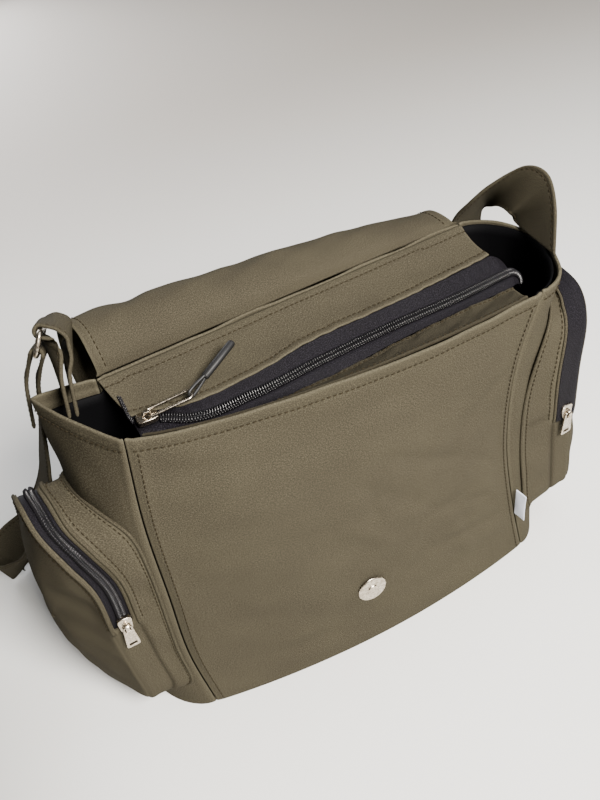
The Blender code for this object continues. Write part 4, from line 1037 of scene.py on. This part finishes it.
FlapRow = namedtuple("FlapRow", "length left_x left_out left_up mid_out mid_up right_x right_out right_up")
FLAP_ROWS = [
    FlapRow(0.00, -.485, .000, .000, .000, .000, .500, .000, .000),
    FlapRow(0.04, -.486, .025, .036, .050, .030, .497, .055, .006),
    FlapRow(0.08, -.488, .085, .064, .150, .050, .494, .160, .006),
    FlapRow(0.12, -.490, .190, .084, .260, .058, .492, .265, -.002),
    FlapRow(0.16, -.496, .305, .088, .370, .052, .492, .350, -.022),
    FlapRow(0.20, -.506, .410, .080, .465, .028, .493, .405, -.056),
    FlapRow(0.25, -.520, .500, .052, .530, -.020, .494, .430, -.105),
    FlapRow(0.31, -.527, .545, -.010, .550, -.085, .495, .430, -.170),
    FlapRow(0.45, -.520, .545, -.210, .515, -.255, .495, .400, -.315),
    FlapRow(0.65, -.512, .480, -.450, .430, -.475, .495, .365, -.505),
    FlapRow(0.85, -.508, .440, -.690, .390, -.700, .495, .345, -.715),
    FlapRow(1.00, -.505, .430, -.920, .380, -.920, .495, .340, -.920),
]
FLAP_LENGTH = 0.285
FLAP_WIDTH = 0.245
FLAP_OUTWARD = (0, 1, 0.35)
FLAP_FOLDS = [
    Crease(24, 25, 42, 62, 6, 0.9), Crease(55, 15, 48, 60, 7, -0.8), Crease(80, 20, 120, 55, 9, 0.9),
    Crease(140, 12, 118, 50, 8, 0.8), Crease(170, 20, 205, 48, 8, -0.8), Crease(40, 120, 120, 170, 10, 1.2),
    Crease(200, 110, 130, 190, 10, 1.1), Crease(60, 220, 180, 240, 11, 1.0), Crease(30, 60, 90, 95, 8, 0.8),
]


@dataclass
class Flap(Piece):
    """The flap thrown back over the top edge: an outer layer and a facing under it, sewn at the hem."""

    hem: float = 0.0055
    outer_thickness: float = 0.0011
    under_thickness: float = 0.0010
    under_drop: float = 0.00145

    def surface(self, shares: np.ndarray, lengths: np.ndarray) -> np.ndarray:
        """The outer face: each line is a quadratic blend of the table's left, middle and right columns."""
        knots = np.array([row.length for row in FLAP_ROWS])
        table = {name: smooth_curve(knots, [getattr(row, name) for row in FLAP_ROWS], lengths)
                 for name in FlapRow._fields[1:]}
        rim = rim_line(Wall.BACK, 0.0, 1 - shares)
        weights = {"left": (1 - shares) * (1 - 2 * shares), "mid": 4 * shares * (1 - shares),
                   "right": shares * (2 * shares - 1)}
        out, up = (sum(np.outer(table[f"{side}_{way}"], weights[side]) for side in weights)
                   for way in ("out", "up"))
        x = np.outer(table["left_x"], 1 - shares) + np.outer(table["right_x"], shares)
        grid = np.stack([x * BODY_WIDTH, rim[None, :, 1] + out * BODY_DEPTH,
                         rim[None, :, 2] + GAP + up * BODY_HEIGHT], axis=-1)
        grid[0, :, 0] = rim[:, 0]
        return grid

    def build(self) -> None:
        """Build both layers and the stitches."""
        shares = stations(FLAP_WIDTH, 0.009, 0.0012, 0.0034)
        lengths = np.concatenate([np.linspace(0, 0.36, 46), np.linspace(0.37, 0.965, 44),
                                  np.linspace(0.97, 1, 7)])
        grid = self.surface(shares, lengths)
        normals = normals_toward(grid, FLAP_OUTWARD)
        u, v = np.meshgrid(shares * FLAP_WIDTH, lengths * FLAP_LENGTH)
        side = np.minimum(u, FLAP_WIDTH - u)
        end = np.minimum(side, FLAP_LENGTH - v)
        inside = ramp(end, 0.001, 0.02) * ramp(v, 0.0, 0.015)
        relief = turned_edge(end, self.hem, 0.0005, 0.0004, 0.001, 0.001)
        relief += inside * (0.0011 * mottle(u, v, 0.06, 71) + 0.0005 * mottle(u, v, 0.022, 72))
        relief += inside * creases(u, v, FLAP_FOLDS)
        relief = np.minimum(relief, 0.003)
        outer = grid + normals * relief[..., None]
        wear = bell(end, 0.0012) + 0.4 * bell(end - self.hem, 0.001)
        cloth = Cloth("flap_cloth", outer, self.outer_thickness, FLAP_OUTWARD, wear=wear, flat_map=(u, v))
        self.dress(cloth.build(), "canvas", "canvas", ("flap",), smooth=1)
        under = grid + normals * (relief * 0.8 - self.under_drop)[..., None]
        shrink = 0.00075 * bell(side, 0.003)[..., None]
        under = under + np.where(u[..., None] < 0.12, 1, -1) * shrink * np.array([1, 0, 0])
        facing = Cloth("flap_facing", under, self.under_thickness, FLAP_OUTWARD, wear=wear * 0.6,
                       flat_map=(u, v))
        self.dress(facing.build(), "canvas", "canvas", ("flap",))
        left, right = nearest(u[0], self.hem), nearest(u[0], FLAP_WIDTH - self.hem)
        low = nearest(v[:, 0], FLAP_LENGTH - self.hem)
        self.sew("flap", [seam_row(outer, normals, index) for index in
                          (np.s_[2:low, left], np.s_[2:low, right], np.s_[low, left:right])])


# Side pockets

PocketRow = namedtuple("PocketRow", "across height edge_x edge_y edge_z")
LEFT_POCKET = [
    PocketRow(.065, .130, -.663, -.366, .119), PocketRow(.065, .280, -.672, -.366, .280),
    PocketRow(.065, .450, -.680, -.366, .450), PocketRow(.065, .620, -.682, -.358, .620),
    PocketRow(.095, .740, -.712, -.300, .735), PocketRow(.210, .785, -.740, -.140, .802),
    PocketRow(.400, .800, -.750, .060, .838), PocketRow(.600, .785, -.756, .270, .810),
    PocketRow(.740, .740, -.762, .400, .735), PocketRow(.800, .620, -.775, .440, .610),
    PocketRow(.810, .450, -.790, .450, .450), PocketRow(.810, .280, -.795, .440, .280),
    PocketRow(.800, .130, -.790, .420, .140), PocketRow(.600, .105, -.770, .240, .118),
    PocketRow(.380, .100, -.740, .000, .115), PocketRow(.180, .110, -.700, -.200, .115),
]
RIGHT_POCKET = [
    PocketRow(.100, .150, .695, -.370, .155), PocketRow(.095, .290, .688, -.370, .300),
    PocketRow(.095, .450, .680, -.370, .450), PocketRow(.110, .640, .676, -.370, .630),
    PocketRow(.190, .780, .696, -.320, .770), PocketRow(.310, .825, .712, -.170, .840),
    PocketRow(.440, .840, .708, .040, .865), PocketRow(.600, .820, .715, .240, .845),
    PocketRow(.720, .760, .735, .370, .780), PocketRow(.770, .640, .765, .420, .640),
    PocketRow(.780, .450, .785, .430, .450), PocketRow(.780, .290, .790, .425, .290),
    PocketRow(.770, .150, .780, .400, .145), PocketRow(.600, .120, .760, .220, .120),
    PocketRow(.420, .115, .735, .000, .118), PocketRow(.240, .125, .712, -.220, .130),
]
ZIP_MARGIN = 0.016
POCKET_ZIP = (0.135, 0.560)
GORE_HEIGHT = 0.112


@dataclass
class Pocket(Piece):
    """A zipped side pocket: a boxed shell on the gusset with its zip let in between two hems."""

    side: Side = Side.LEFT
    name: str = "pocket_left"
    rows: list[PocketRow] = field(default_factory=lambda: LEFT_POCKET)
    belly: float = 0.013
    steps: int = 144
    thickness: float = 0.0016
    tape_thickness: float = 0.0007
    teeth_width: float = 0.0056
    teeth_height: float = 0.0019
    piping: float = 0.0011
    hem_roll: float = 0.0012

    def rings(self) -> np.ndarray:
        """Rings of points: up the wall from the gusset to the rim of the face, then over the face."""
        count = len(self.rows)
        knots = np.arange(-2, count + 3)
        at = np.arange(self.steps) * count / self.steps
        read = {name: smooth_curve(knots, [getattr(self.rows[k % count], name) for k in knots], at)
                for name in PocketRow._fields}
        heights = read["height"]
        if self.side is Side.LEFT:
            wall, shares = Wall.LEFT, 1 - read["across"]
        else:
            wall, shares = Wall.RIGHT, read["across"]
        attach = np.array([wall_grid(wall, np.array([a]), np.array([h]))[0, 0]
                           for a, h in zip(shares, heights)])
        outward = np.array([self.side.value, 0.0, 0.0])
        attach = attach + outward * 0.0006
        attach[:, 2] = heights * BODY_HEIGHT
        edge = np.column_stack([read["edge_x"] * BODY_WIDTH, read["edge_y"] * BODY_DEPTH,
                                read["edge_z"] * BODY_HEIGHT])
        length = np.linalg.norm(edge - attach, axis=1)[:, None]
        hem = edge + (attach - edge) * np.minimum(ZIP_MARGIN / length, 0.6)
        lines = [attach, attach * 0.55 + hem * 0.45, hem, (hem + edge) / 2, edge]
        centre = edge.mean(axis=0)
        for scale in (0.86, 0.64, 0.40, 0.18, 0.01):
            ringed = centre + (edge - centre) * scale
            ringed[:, 0] += self.side.value * self.belly * (1 - scale ** 2)
            lines.append(ringed)
        return np.array(lines)

    def build(self) -> None:
        """Build the shell, its tape and teeth, the piping round its foot and the hems beside the zip."""
        rings = self.rings()
        knots = np.arange(len(rings), dtype=float)
        levels = np.concatenate([np.linspace(0, 2, 13), np.linspace(2, 4, 11)[1:], np.linspace(4, 9, 30)[1:]])
        grid = smooth_curve(knots, rings, levels)
        toward = (float(self.side.value), 0.0, 0.0)
        normals = normals_toward(grid, toward, True)
        reach = walked(np.vstack([rings[4], rings[4][:1]]))[:-1]
        u = np.broadcast_to(reach[None], grid.shape[:2])
        v = walked(grid[:, 0])[:, None] + 0 * u
        level = levels[:, None] + 0 * u
        share = np.arange(self.steps) / self.steps
        first, last = (int(round(s * self.steps)) for s in POCKET_ZIP)
        closing = np.minimum(ramp(share, POCKET_ZIP[0] - 0.02, POCKET_ZIP[0]),
                             1 - ramp(share, POCKET_ZIP[1], POCKET_ZIP[1] + 0.02))[None]
        inner_edge, outer_edge = (level - 2.0) * 0.008, (level - 4.0) * 0.008
        seam = bell(inner_edge, 0.0012) + bell(outer_edge, 0.0012)
        relief = -0.0008 * seam * (1 - closing) + 0.0007 * bell(v, 0.0025)
        relief += 0.0008 * seam * closing
        face = ramp(level, 4.2, 5.5)
        panel = ramp(level, 0.2, 0.8) * (1 - ramp(level, 1.5, 2.0))
        depth, height = grid[..., 1], grid[..., 2]
        seed = 83 + self.side.value
        relief += (face + panel) * (0.0011 * mottle(depth, height, 0.05, seed)
                                    + 0.0005 * mottle(depth, height, 0.02, seed + 1))
        gore = bell(height - GORE_HEIGHT, 0.0011) * panel * (share[None] < 0.3)
        relief -= 0.0010 * gore
        grid = grid + normals * relief[..., None]
        keep = np.ones((len(levels) - 1, self.steps), bool)
        opening = (levels[:-1] >= 2.3) & (levels[:-1] < 3.69)
        keep[np.ix_(opening, np.arange(first, last))] = False
        wear = bell(outer_edge, 0.0016) + bell(inner_edge, 0.0016) * closing + bell(v, 0.002)
        shade = 0.6 * seam * (1 - closing) * (1 - wear.clip(0, 1) * 0.3) + 0.7 * gore + 0.5 * bell(v, 0.001)
        cloth = Cloth(f"{self.name}_cloth", grid, self.thickness, toward, closed=True, keep=keep, wear=wear,
                      shade=shade, flat_map=(u, v))
        self.dress(cloth.build(), "canvas", "canvas", (self.name,))
        self.zip(rings, first, last, toward)
        self.sewing(grid, normals, levels, first, last)

    def zip(self, rings: np.ndarray, first: int, last: int, toward: tuple[float, float, float]) -> None:
        """The tape a little below the shell's surface, and the closed teeth along its middle."""
        across = np.linspace(2.05, 3.95, 13)
        grid = smooth_curve(np.arange(len(rings)), rings, across)
        normals = normals_toward(grid, toward, True)
        columns = np.arange(first - 1, last + 2)
        grid, normals = grid[:, columns] - normals[:, columns] * 0.0013, normals[:, columns]
        cloth = Cloth(f"{self.name}_tape_cloth", grid, self.tape_thickness,
                      tuple(normals.mean(axis=(0, 1)).tolist()))
        self.dress(cloth.build(), "tape", "zip_cloth", (f"{self.name}_zip_tape",), smooth=1)
        middle, up = grid[6], normals[6]
        chain = coil_chain(f"{self.name}_teeth", middle + up * 0.0004, up, self.teeth_width,
                           self.teeth_height, start=SLIDER_LENGTH)
        self.dress(chain, "coil", "zip_cloth", (f"{self.name}_coil",))

    def sewing(self, grid: np.ndarray, normals: np.ndarray, levels: np.ndarray, first: int,
               last: int) -> None:
        """Piping where the pocket meets the gusset, rolled hems beside the zip, and rows of stitches."""
        foot, lift = grid[0], normals[0]
        loop = np.append(np.arange(self.steps), 0)
        path, up = evenly(foot[loop], lift[loop], 0.003)
        path, up = path[:-1] + up[:-1] * 0.0002, up[:-1]
        piping = sweep(f"{self.name}_piping", path, unit(np.cross(round_travel(path), up)), up,
                       circle(self.piping, 8), closed_path=True)
        self.dress(piping, "canvas", "canvas")
        rows = []
        for level, place, inset in ((2.0, "wall", -0.38), (4.0, "face", 0.30)):
            row = nearest(levels, level)
            columns = np.arange(first - 1, last + 2)
            line, lift = evenly(grid[row, columns], normals[row, columns], 0.002)
            travel = unit(np.gradient(line, axis=0))
            roll = sweep(f"{self.name}_hem_{place}", line + lift * 0.0001,
                         unit(np.cross(travel, lift)), lift, circle(self.hem_roll, 8, 0.75))
            self.dress(roll, "canvas", "canvas")
            rows.append(seam_row(grid, normals, (nearest(levels, level + inset), np.arange(first, last + 1))))
        rows.append(seam_row(grid, normals, (nearest(levels, 0.35), loop)))
        self.sew(self.name, rows)


# Strap, tab and ring

StrapRow = namedtuple("StrapRow", "x y z across")
TAB_ROWS = [
    StrapRow(-.573, .122, 1.013, (-.15, -.97, -.08)),
    StrapRow(-.558, .207, 1.095, (-.10, -.97, .10)),
    StrapRow(-.536, .317, 1.137, (-.06, -.95, .28)),
    StrapRow(-.538, .420, 1.160, (-.08, -.90, .42)),
    StrapRow(-.566, .500, 1.168, (-.12, -.85, .52)),
]
RING_DROP = (-0.50, -0.25, -0.85)
RING_WIRE = 0.0030
RING_REACH = 0.0125
RING_BEND = 0.0030
STRAP_SPAN = (.300, .640)
STRAP_ROWS = [
    StrapRow(-.612, .535, 1.057, (-.10, -.87, .48)),
    StrapRow(-.628, .575, .996, (-.06, -.89, .45)),
    StrapRow(-.648, .560, .876, (-.05, -.91, .40)),
    StrapRow(-.672, .545, .761, (.00, -.94, .33)),
    StrapRow(-.697, .560, .650, (.00, -.97, .24)),
    StrapRow(-.765, .720, .500, (-.05, -.95, .25)),
    StrapRow(-.815, .960, .355, (-.12, -.85, .45)),
    StrapRow(-.868, 1.200, .248, (-.20, -.65, .72)),
    StrapRow(-.912, 1.400, .190, (-.22, -.40, .88)),
    StrapRow(-.920, 1.640, .171, (-.12, .00, 1.0)),
    StrapRow(-.850, 1.850, .171, (.00, .10, 1.0)),
    StrapRow(-.700, 1.960, .168, (.00, .30, .95)),
    StrapRow(-.500, 2.020, .125, (.00, .80, .60)),
    StrapRow(-.300, 2.000, .040, (.00, 1.0, .12)),
    StrapRow(-.050, 1.960, .007, (.00, 1.0, .00)),
    StrapRow(.150, 1.940, .007, (.00, 1.0, .00)),
    StrapRow(.350, 1.880, .060, (-.30, .95, .10)),
    StrapRow(.480, 1.700, .230, (-.70, .70, .10)),
    StrapRow(.530, 1.450, .420, (-.90, .40, .10)),
    StrapRow(.530, 1.180, .600, (-1.0, .10, .05)),
    StrapRow(.528, .920, .760, (-1.0, -.14, .06)),
    StrapRow(.529, .780, .886, (-.95, -.28, .13)),
    StrapRow(.532, .660, .982, (-.80, -.36, .48)),
    StrapRow(.549, .540, 1.045, (-.62, -.50, .60)),
    StrapRow(.585, .440, 1.106, (-.32, -.54, .77)),
    StrapRow(.636, .290, 1.168, (.12, -.45, .88)),
    StrapRow(.655, .110, 1.168, (.30, -.48, .82)),
    StrapRow(.641, -.050, 1.110, (.14, -.80, .56)),
]
FLOOR_CLEAR = 0.0034
STRAP_SEAM = 0.003


@dataclass
class Strap(Piece):
    """The tab on the left rim, the ring in its fold, and the strap round the back to the right rim."""

    steps: int = 9
    fold_rows: int = 3
    layer_gap: float = 0.0009

    def band(self, points: np.ndarray, across: np.ndarray) -> tuple[np.ndarray, np.ndarray]:
        """One edge of a band and the way across it, through its rows, kept clear of the floor."""
        knots = np.arange(len(points))
        at = np.linspace(0, len(points) - 1, (len(points) - 1) * self.steps + 1)
        near = smooth_curve(knots, points, at)
        way = unit(smooth_curve(knots, across, at))
        near[:, 2] = np.maximum(near[:, 2], FLOOR_CLEAR)
        steep = np.minimum(way[:, 2], (near[:, 2] - FLOOR_CLEAR) / STRAP_WIDTH)
        level = np.linalg.norm(way[:, :2], axis=1)
        way[:, :2] *= (np.sqrt(1 - steep ** 2) / level)[:, None]
        way[:, 2] = steep
        return near, way

    def doubled(self, near: np.ndarray, way: np.ndarray, back_count: int, gap: float
                ) -> tuple[np.ndarray, np.ndarray]:
        """Lead a band to its last point, round the bar there in a half circle, and back along itself."""
        travel = unit(np.gradient(near - way * STRAP_WIDTH / 2, axis=0))
        face = unit(np.cross(travel, way))
        radius = RING_WIRE / 2 + GAP * 2 + STRAP / 2
        share = np.linspace(0, 1, len(near))[:, None] ** 2
        spread = (STRAP / 2 + gap) * (1 - share) + radius * share
        turns = np.linspace(0, math.pi, 18)[1:-1, None]
        past = unit(travel[-1] - np.dot(travel[-1], way[-1]) * way[-1])
        wrap = near[-1] + radius * (np.cos(turns) * face[-1] + np.sin(turns) * past)
        lines = np.vstack([near + face * spread, wrap, (near - face * spread)[::-1][:back_count]])
        ways = np.vstack([way, np.repeat(way[-1:], len(wrap), axis=0), way[::-1][:back_count]])
        return lines, ways

    def splayed(self, line: np.ndarray, ways: np.ndarray) -> np.ndarray:
        """Turn the tab's two layers a little away from each other between the rim and the ring.

        Args:
            line: the tab's near edge, up one layer and down the other.
            ways: the ways across it.

        Returns:
            The turned ways.
        """
        face = unit(np.cross(np.gradient(line, axis=0), ways))
        share = np.linspace(0, 1, len(line))
        turn = np.radians(-8.0) * bell(share - 0.24, 0.13) - np.radians(14.0) * bell(share - 0.76, 0.13)
        return unit(ways * np.cos(turn)[:, None] + face * np.sin(turn)[:, None])

    def webbing(self, name: str, line: np.ndarray, ways: np.ndarray, seed: int) -> None:
        """Folded canvas strap: rounded edges, and a shallow groove under the stitches 3 mm in from each."""
        near = np.array([0.0, 0.3, 1.0, 2.2, 3.0, 3.8, 6.0, 12.0, 19.0]) * MM
        place = np.concatenate([near, STRAP_WIDTH - near[-2::-1]])
        edge = np.minimum(place, STRAP_WIDTH - place)
        half = STRAP / 2 * np.sqrt(1 - (1 - np.clip(edge / 0.0010, 0, 1)) ** 2)
        half -= 0.0003 * bell(edge - STRAP_SEAM, 0.0008)
        profile = np.concatenate([np.column_stack([-place, half]), np.column_stack([-place, -half])[::-1]])
        middle = line - ways * STRAP_WIDTH / 2
        up = unit(np.cross(np.gradient(middle, axis=0), ways))
        walk = walked(middle)
        heights = np.random.default_rng(seed).normal(0, 1, 40)
        wave = 0.0007 * np.interp(walk, np.linspace(0, walk[-1], 40), heights)
        fade = ramp(walk, 0, 0.05) * (1 - ramp(walk, walk[-1] - 0.09, walk[-1] - 0.05))
        path = line + up * (wave * fade)[:, None]
        self.dress(sweep(f"{name}_cloth", path, ways, up, profile), "canvas", "canvas", (name,), smooth=1)
        rows = [(path - ways * inset + up * side * (STRAP / 2 - 0.00038), up * side)
                for inset in (STRAP_SEAM, STRAP_WIDTH - STRAP_SEAM) for side in (-1, 1)]
        self.sew(name, rows)

    def build(self) -> None:
        """Build the tab, the ring and the strap."""
        scale = np.array([BODY_WIDTH, BODY_DEPTH, BODY_HEIGHT])
        points = [np.array([(r.x, r.y, r.z) for r in rows]) * scale for rows in (TAB_ROWS, STRAP_ROWS)]
        across = [np.array([r.across for r in rows]) for rows in (TAB_ROWS, STRAP_ROWS)]
        near, way = self.band(points[0], across[0])
        line, ways = self.doubled(near, way, len(near), self.layer_gap)
        self.webbing("strap_tab", line, self.splayed(line, ways), 5)
        drop = np.array(RING_DROP) - np.dot(RING_DROP, way[-1]) * way[-1]
        drop = drop / np.linalg.norm(drop)
        self.ring(near[-1], way[-1], drop)
        ends = wall_grid(Wall.RIGHT, np.array(STRAP_SPAN), np.array([1.0]))[0]
        ends = ends - np.array([WALL / 2, 0, 0]) + np.array([0, 0, GAP * 4])
        last_way = unit(ends[0] - ends[1])
        last = ends.mean(axis=0) + last_way * STRAP_WIDTH / 2
        bar = near[-1] + drop * RING_REACH
        near, way = self.band(np.vstack([bar, points[1], last]), np.vstack([way[-1], across[1], last_way]))
        self.webbing("strap", *self.doubled(near[::-1], way[::-1], self.fold_rows * self.steps, GAP), 9)

    def ring(self, top: np.ndarray, axis: np.ndarray, drop: np.ndarray) -> None:
        """The ring: round wire bent to a rounded rectangle, its bars in the folds of tab and strap."""
        length = STRAP_WIDTH + 2.6 * RING_WIRE
        start = top + axis * 1.3 * RING_WIRE
        half = np.array([length, RING_REACH]) / 2
        flat = rounded_rectangle(half, RING_BEND, 7) + half
        path = start - axis * flat[:, :1] + drop * flat[:, 1:]
        normal = np.cross(axis, drop)
        normals = np.tile(normal / np.linalg.norm(normal), (len(path), 1))
        wire = sweep("strap_ring_wire", path, unit(np.cross(round_travel(path), normals)), normals,
                     circle(RING_WIRE / 2, 14), closed_path=True)
        self.dress(wire, "nickel", "nickel", ("strap_ring",))


# Metal pieces and the side tag

@dataclass
class Fittings(Piece):
    """The sliders, pulls and snap, which keep their CAD shapes with softened edges, and the cloth tag."""

    bevel: float = 0.00022
    wire_bend: float = 0.0024
    tag_height: float = 0.025

    def soften(self, name: str, finish: str, slot_name: str, width: float) -> None:
        """Weld a CAD node's loose triangles and round its sharp edges, and give it its finish."""
        thing = bpy.data.objects[name]
        thing.data.materials.clear()
        thing.data.materials.append(self.finishes[finish])
        weld = thing.modifiers.new("weld", "WELD")
        weld.merge_threshold = 0.00001
        rounding = thing.modifiers.new("soft_edges", "BEVEL")
        rounding.width, rounding.segments, rounding.limit_method = width, 2, "ANGLE"
        rounding.angle_limit = math.radians(32)
        rounding.harden_normals = True
        for polygon in thing.data.polygons:
            polygon.use_smooth = True
        LOG.info("%s: softened", name)

    def wire_loop(self, radius: float = 0.00075) -> None:
        """The main pull's loop: round wire along a rounded rectangle fitted to the CAD node's own axes."""
        node = bpy.data.objects["zip_pull_loop"]
        points = np.array([node.matrix_world @ v.co for v in node.data.vertices])
        spread = points - points.mean(axis=0)
        axes = np.linalg.svd(spread, full_matrices=False)[2]
        reach = spread @ axes.T
        middle = points.mean(axis=0) + (reach.max(axis=0) + reach.min(axis=0)) / 2 @ axes
        half = (reach.max(axis=0) - reach.min(axis=0))[:2] / 2 - 0.0007
        path = middle + rounded_rectangle(half, self.wire_bend, 8) @ axes[:2]
        lift = np.tile(axes[2], (len(path), 1))
        wire = sweep("zip_pull_wire", path, unit(np.cross(round_travel(path), lift)), lift,
                     circle(radius, 12), closed_path=True)
        self.dress(wire, "nickel", "nickel", ("zip_pull_loop",), body=Body.MAIN_PULL)

    def tag(self) -> None:
        """The folded tape caught in the right front seam, left blank."""
        low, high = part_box("side_tag")
        node = bpy.data.objects["side_tag"]
        points = np.array([v.co for v in node.data.vertices])
        root = points[points[:, 1] > high.y - 0.002].mean(axis=0)
        tip = points[points[:, 1] < low.y + 0.002].mean(axis=0)
        out = tip - root
        t = np.linspace(0, 1, 12)
        rise = np.linspace(-0.5, 0.5, 22) * self.tag_height
        grid = root + out * t[None, :, None] + np.array([0, 0, 1.0]) * rise[:, None, None]
        side = np.cross(out, (0, 0, 1.0))
        side = side / np.linalg.norm(side)
        bend = 0.0006 * np.sin(math.pi * t)[None] * np.cos(rise * 160)[:, None]
        grid = grid + side * (bend + 0.0005)[..., None]
        from_side = np.minimum(t, 1 - t) * 0.008
        from_end = np.minimum(rise + self.tag_height / 2, self.tag_height / 2 - rise)
        edge = np.minimum(*np.meshgrid(from_side, from_end))
        cloth = Cloth("side_tag_cloth", grid, 0.0010, tuple(side.tolist()), wear=bell(edge, 0.0006))
        self.dress(cloth.build(), "label", "label_cloth", ("side_tag",), smooth=1)

    def build(self) -> None:
        """Finish every fitting."""
        for name in ("zip_slider", "pocket_left_slider", "pocket_left_pull", "pocket_right_slider",
                     "pocket_right_pull", "snap_socket", "snap_stud"):
            self.soften(name, "nickel", "nickel", self.bevel)
        self.wire_loop()
        self.soften("zip_pull_cord", "rubber", "moulded_rubber", self.bevel)
        self.tag()


# Room, lights and camera

Lamp = namedtuple("Lamp", "name spot aim size watts tint")
LAMPS = [
    Lamp("key", (0.16, -0.90, 1.10), (0, 0, 0.10), 0.5, 68.0, "fffaf4"),
    Lamp("top", (0.60, 0.0, 1.4), (0, 0, 0.1), 0.9, 8.0, "f8f9ff"),
    Lamp("back_fill", (-0.25, 1.35, 0.45), (0, 0.1, 0.1), 0.8, 16.0, "f8f9ff"),
]


@dataclass
class Studio:
    """A pale floor, a key light before the bag, two weak fills, and the photograph's camera."""

    place: tuple[float, float, float] = (-0.15455, -0.34378, 0.52761)
    right: tuple[float, float, float] = (0.88113, -0.46015, -0.10894)
    up: tuple[float, float, float] = (0.38677, 0.56877, 0.72589)
    ahead: tuple[float, float, float] = (0.27206, 0.68174, -0.67913)
    focal: float = 880.0
    long_side: float = 800.0

    def camera(self) -> None:
        """Set the camera: its lens is the focal length in pixels over the picture's long side."""
        data = bpy.data.cameras.new("camera")
        data.sensor_width = 36.0
        data.lens = self.focal / self.long_side * 36.0
        data.clip_start, data.clip_end = 0.01, 50
        thing = bpy.data.objects.new("camera", data)
        bpy.context.scene.collection.objects.link(thing)
        axes = Matrix((self.right, self.up, [-a for a in self.ahead])).transposed()
        thing.matrix_world = Matrix.Translation(self.place) @ axes.to_4x4()
        bpy.context.scene.camera = thing

    def floor(self) -> None:
        """A wide pale floor with painted shade: it grows darker behind the bag and has a painted shadow
        beyond its left end.
        """
        span = np.linspace(-1, 1, 9) * 6.0
        x, y = np.meshgrid(span, span)
        grid = np.stack([x, y, np.full_like(x, -0.0002)], axis=-1)
        thing = Cloth("studio_floor", grid, 0.001, (0, 0, 1)).build()
        made, tree, shader = new_material("matt_painted_floor")
        place = add(tree, "TexCoord")
        axes = add(tree, "SeparateXYZ", {"Vector": place.outputs["Object"]})
        # painted shade: behind the bag the floor is darkened from f2f2ee to bdb7ae, where the light falls off
        far_painted_shade = add(tree, "MapRange", {"Value": axes.outputs["Y"], "From Min": 0.12, "From Max": 0.85},
                  interpolation_type="SMOOTHSTEP")
        tint = graded(tree, far_painted_shade.outputs[0], [(0.0, "f2f2ee"), (1.0, "bdb7ae")])
        # painted shadow: beyond the bag's left end the floor is darkened towards 6f6a61
        left_painted_shadow = add(tree, "MapRange", {"Value": axes.outputs["X"], "From Min": -0.14, "From Max": -0.42},
                    interpolation_type="SMOOTHSTEP")
        tint = mixed(tree, left_painted_shadow.outputs[0], tint, linear("6f6a61"))
        tree.links.new(tint, shader.inputs["Base Color"])
        shader.inputs["Roughness"].default_value = 0.7
        thing.data.materials.append(made)

    def light(self, name: str, spot: tuple[float, float, float], aim: tuple[float, float, float], size: float,
              watts: float, tint: str) -> None:
        """One square area light aimed at a point."""
        data = bpy.data.lights.new(name, "AREA")
        data.shape, data.size, data.energy, data.color = "SQUARE", size, watts, linear(tint)[:3]
        thing = bpy.data.objects.new(name, data)
        bpy.context.scene.collection.objects.link(thing)
        thing.location = spot
        thing.rotation_mode = "QUATERNION"
        thing.rotation_quaternion = (Vector(aim) - Vector(spot)).to_track_quat("-Z", "Y")

    def build(self) -> None:
        """Build the room, the lights and the camera."""
        self.floor()
        for lamp in LAMPS:
            self.light(*lamp)
        world = bpy.data.worlds.new("soft_room")
        bpy.context.scene.world = world
        world.use_nodes = True
        ground = world.node_tree.nodes["Background"]
        ground.inputs["Color"].default_value = linear("e6e6e2")
        ground.inputs["Strength"].default_value = 0.16
        self.camera()


def main() -> None:
    """Load the frame and build every sub-assembly."""
    logging.basicConfig(level=logging.INFO, format="%(name)s %(message)s")
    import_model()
    finishes = Finishes().make()
    Studio().build()
    right_pocket = Pocket(finishes, Side.RIGHT, "pocket_right", RIGHT_POCKET)
    for assembly in (Shell(finishes), ZippedTop(finishes), Flap(finishes), Pocket(finishes), right_pocket,
                     Strap(finishes), Fittings(finishes)):
        assembly.build()
        LOG.info("built %s", type(assembly).__name__)


if __name__ == "__main__":
    main()
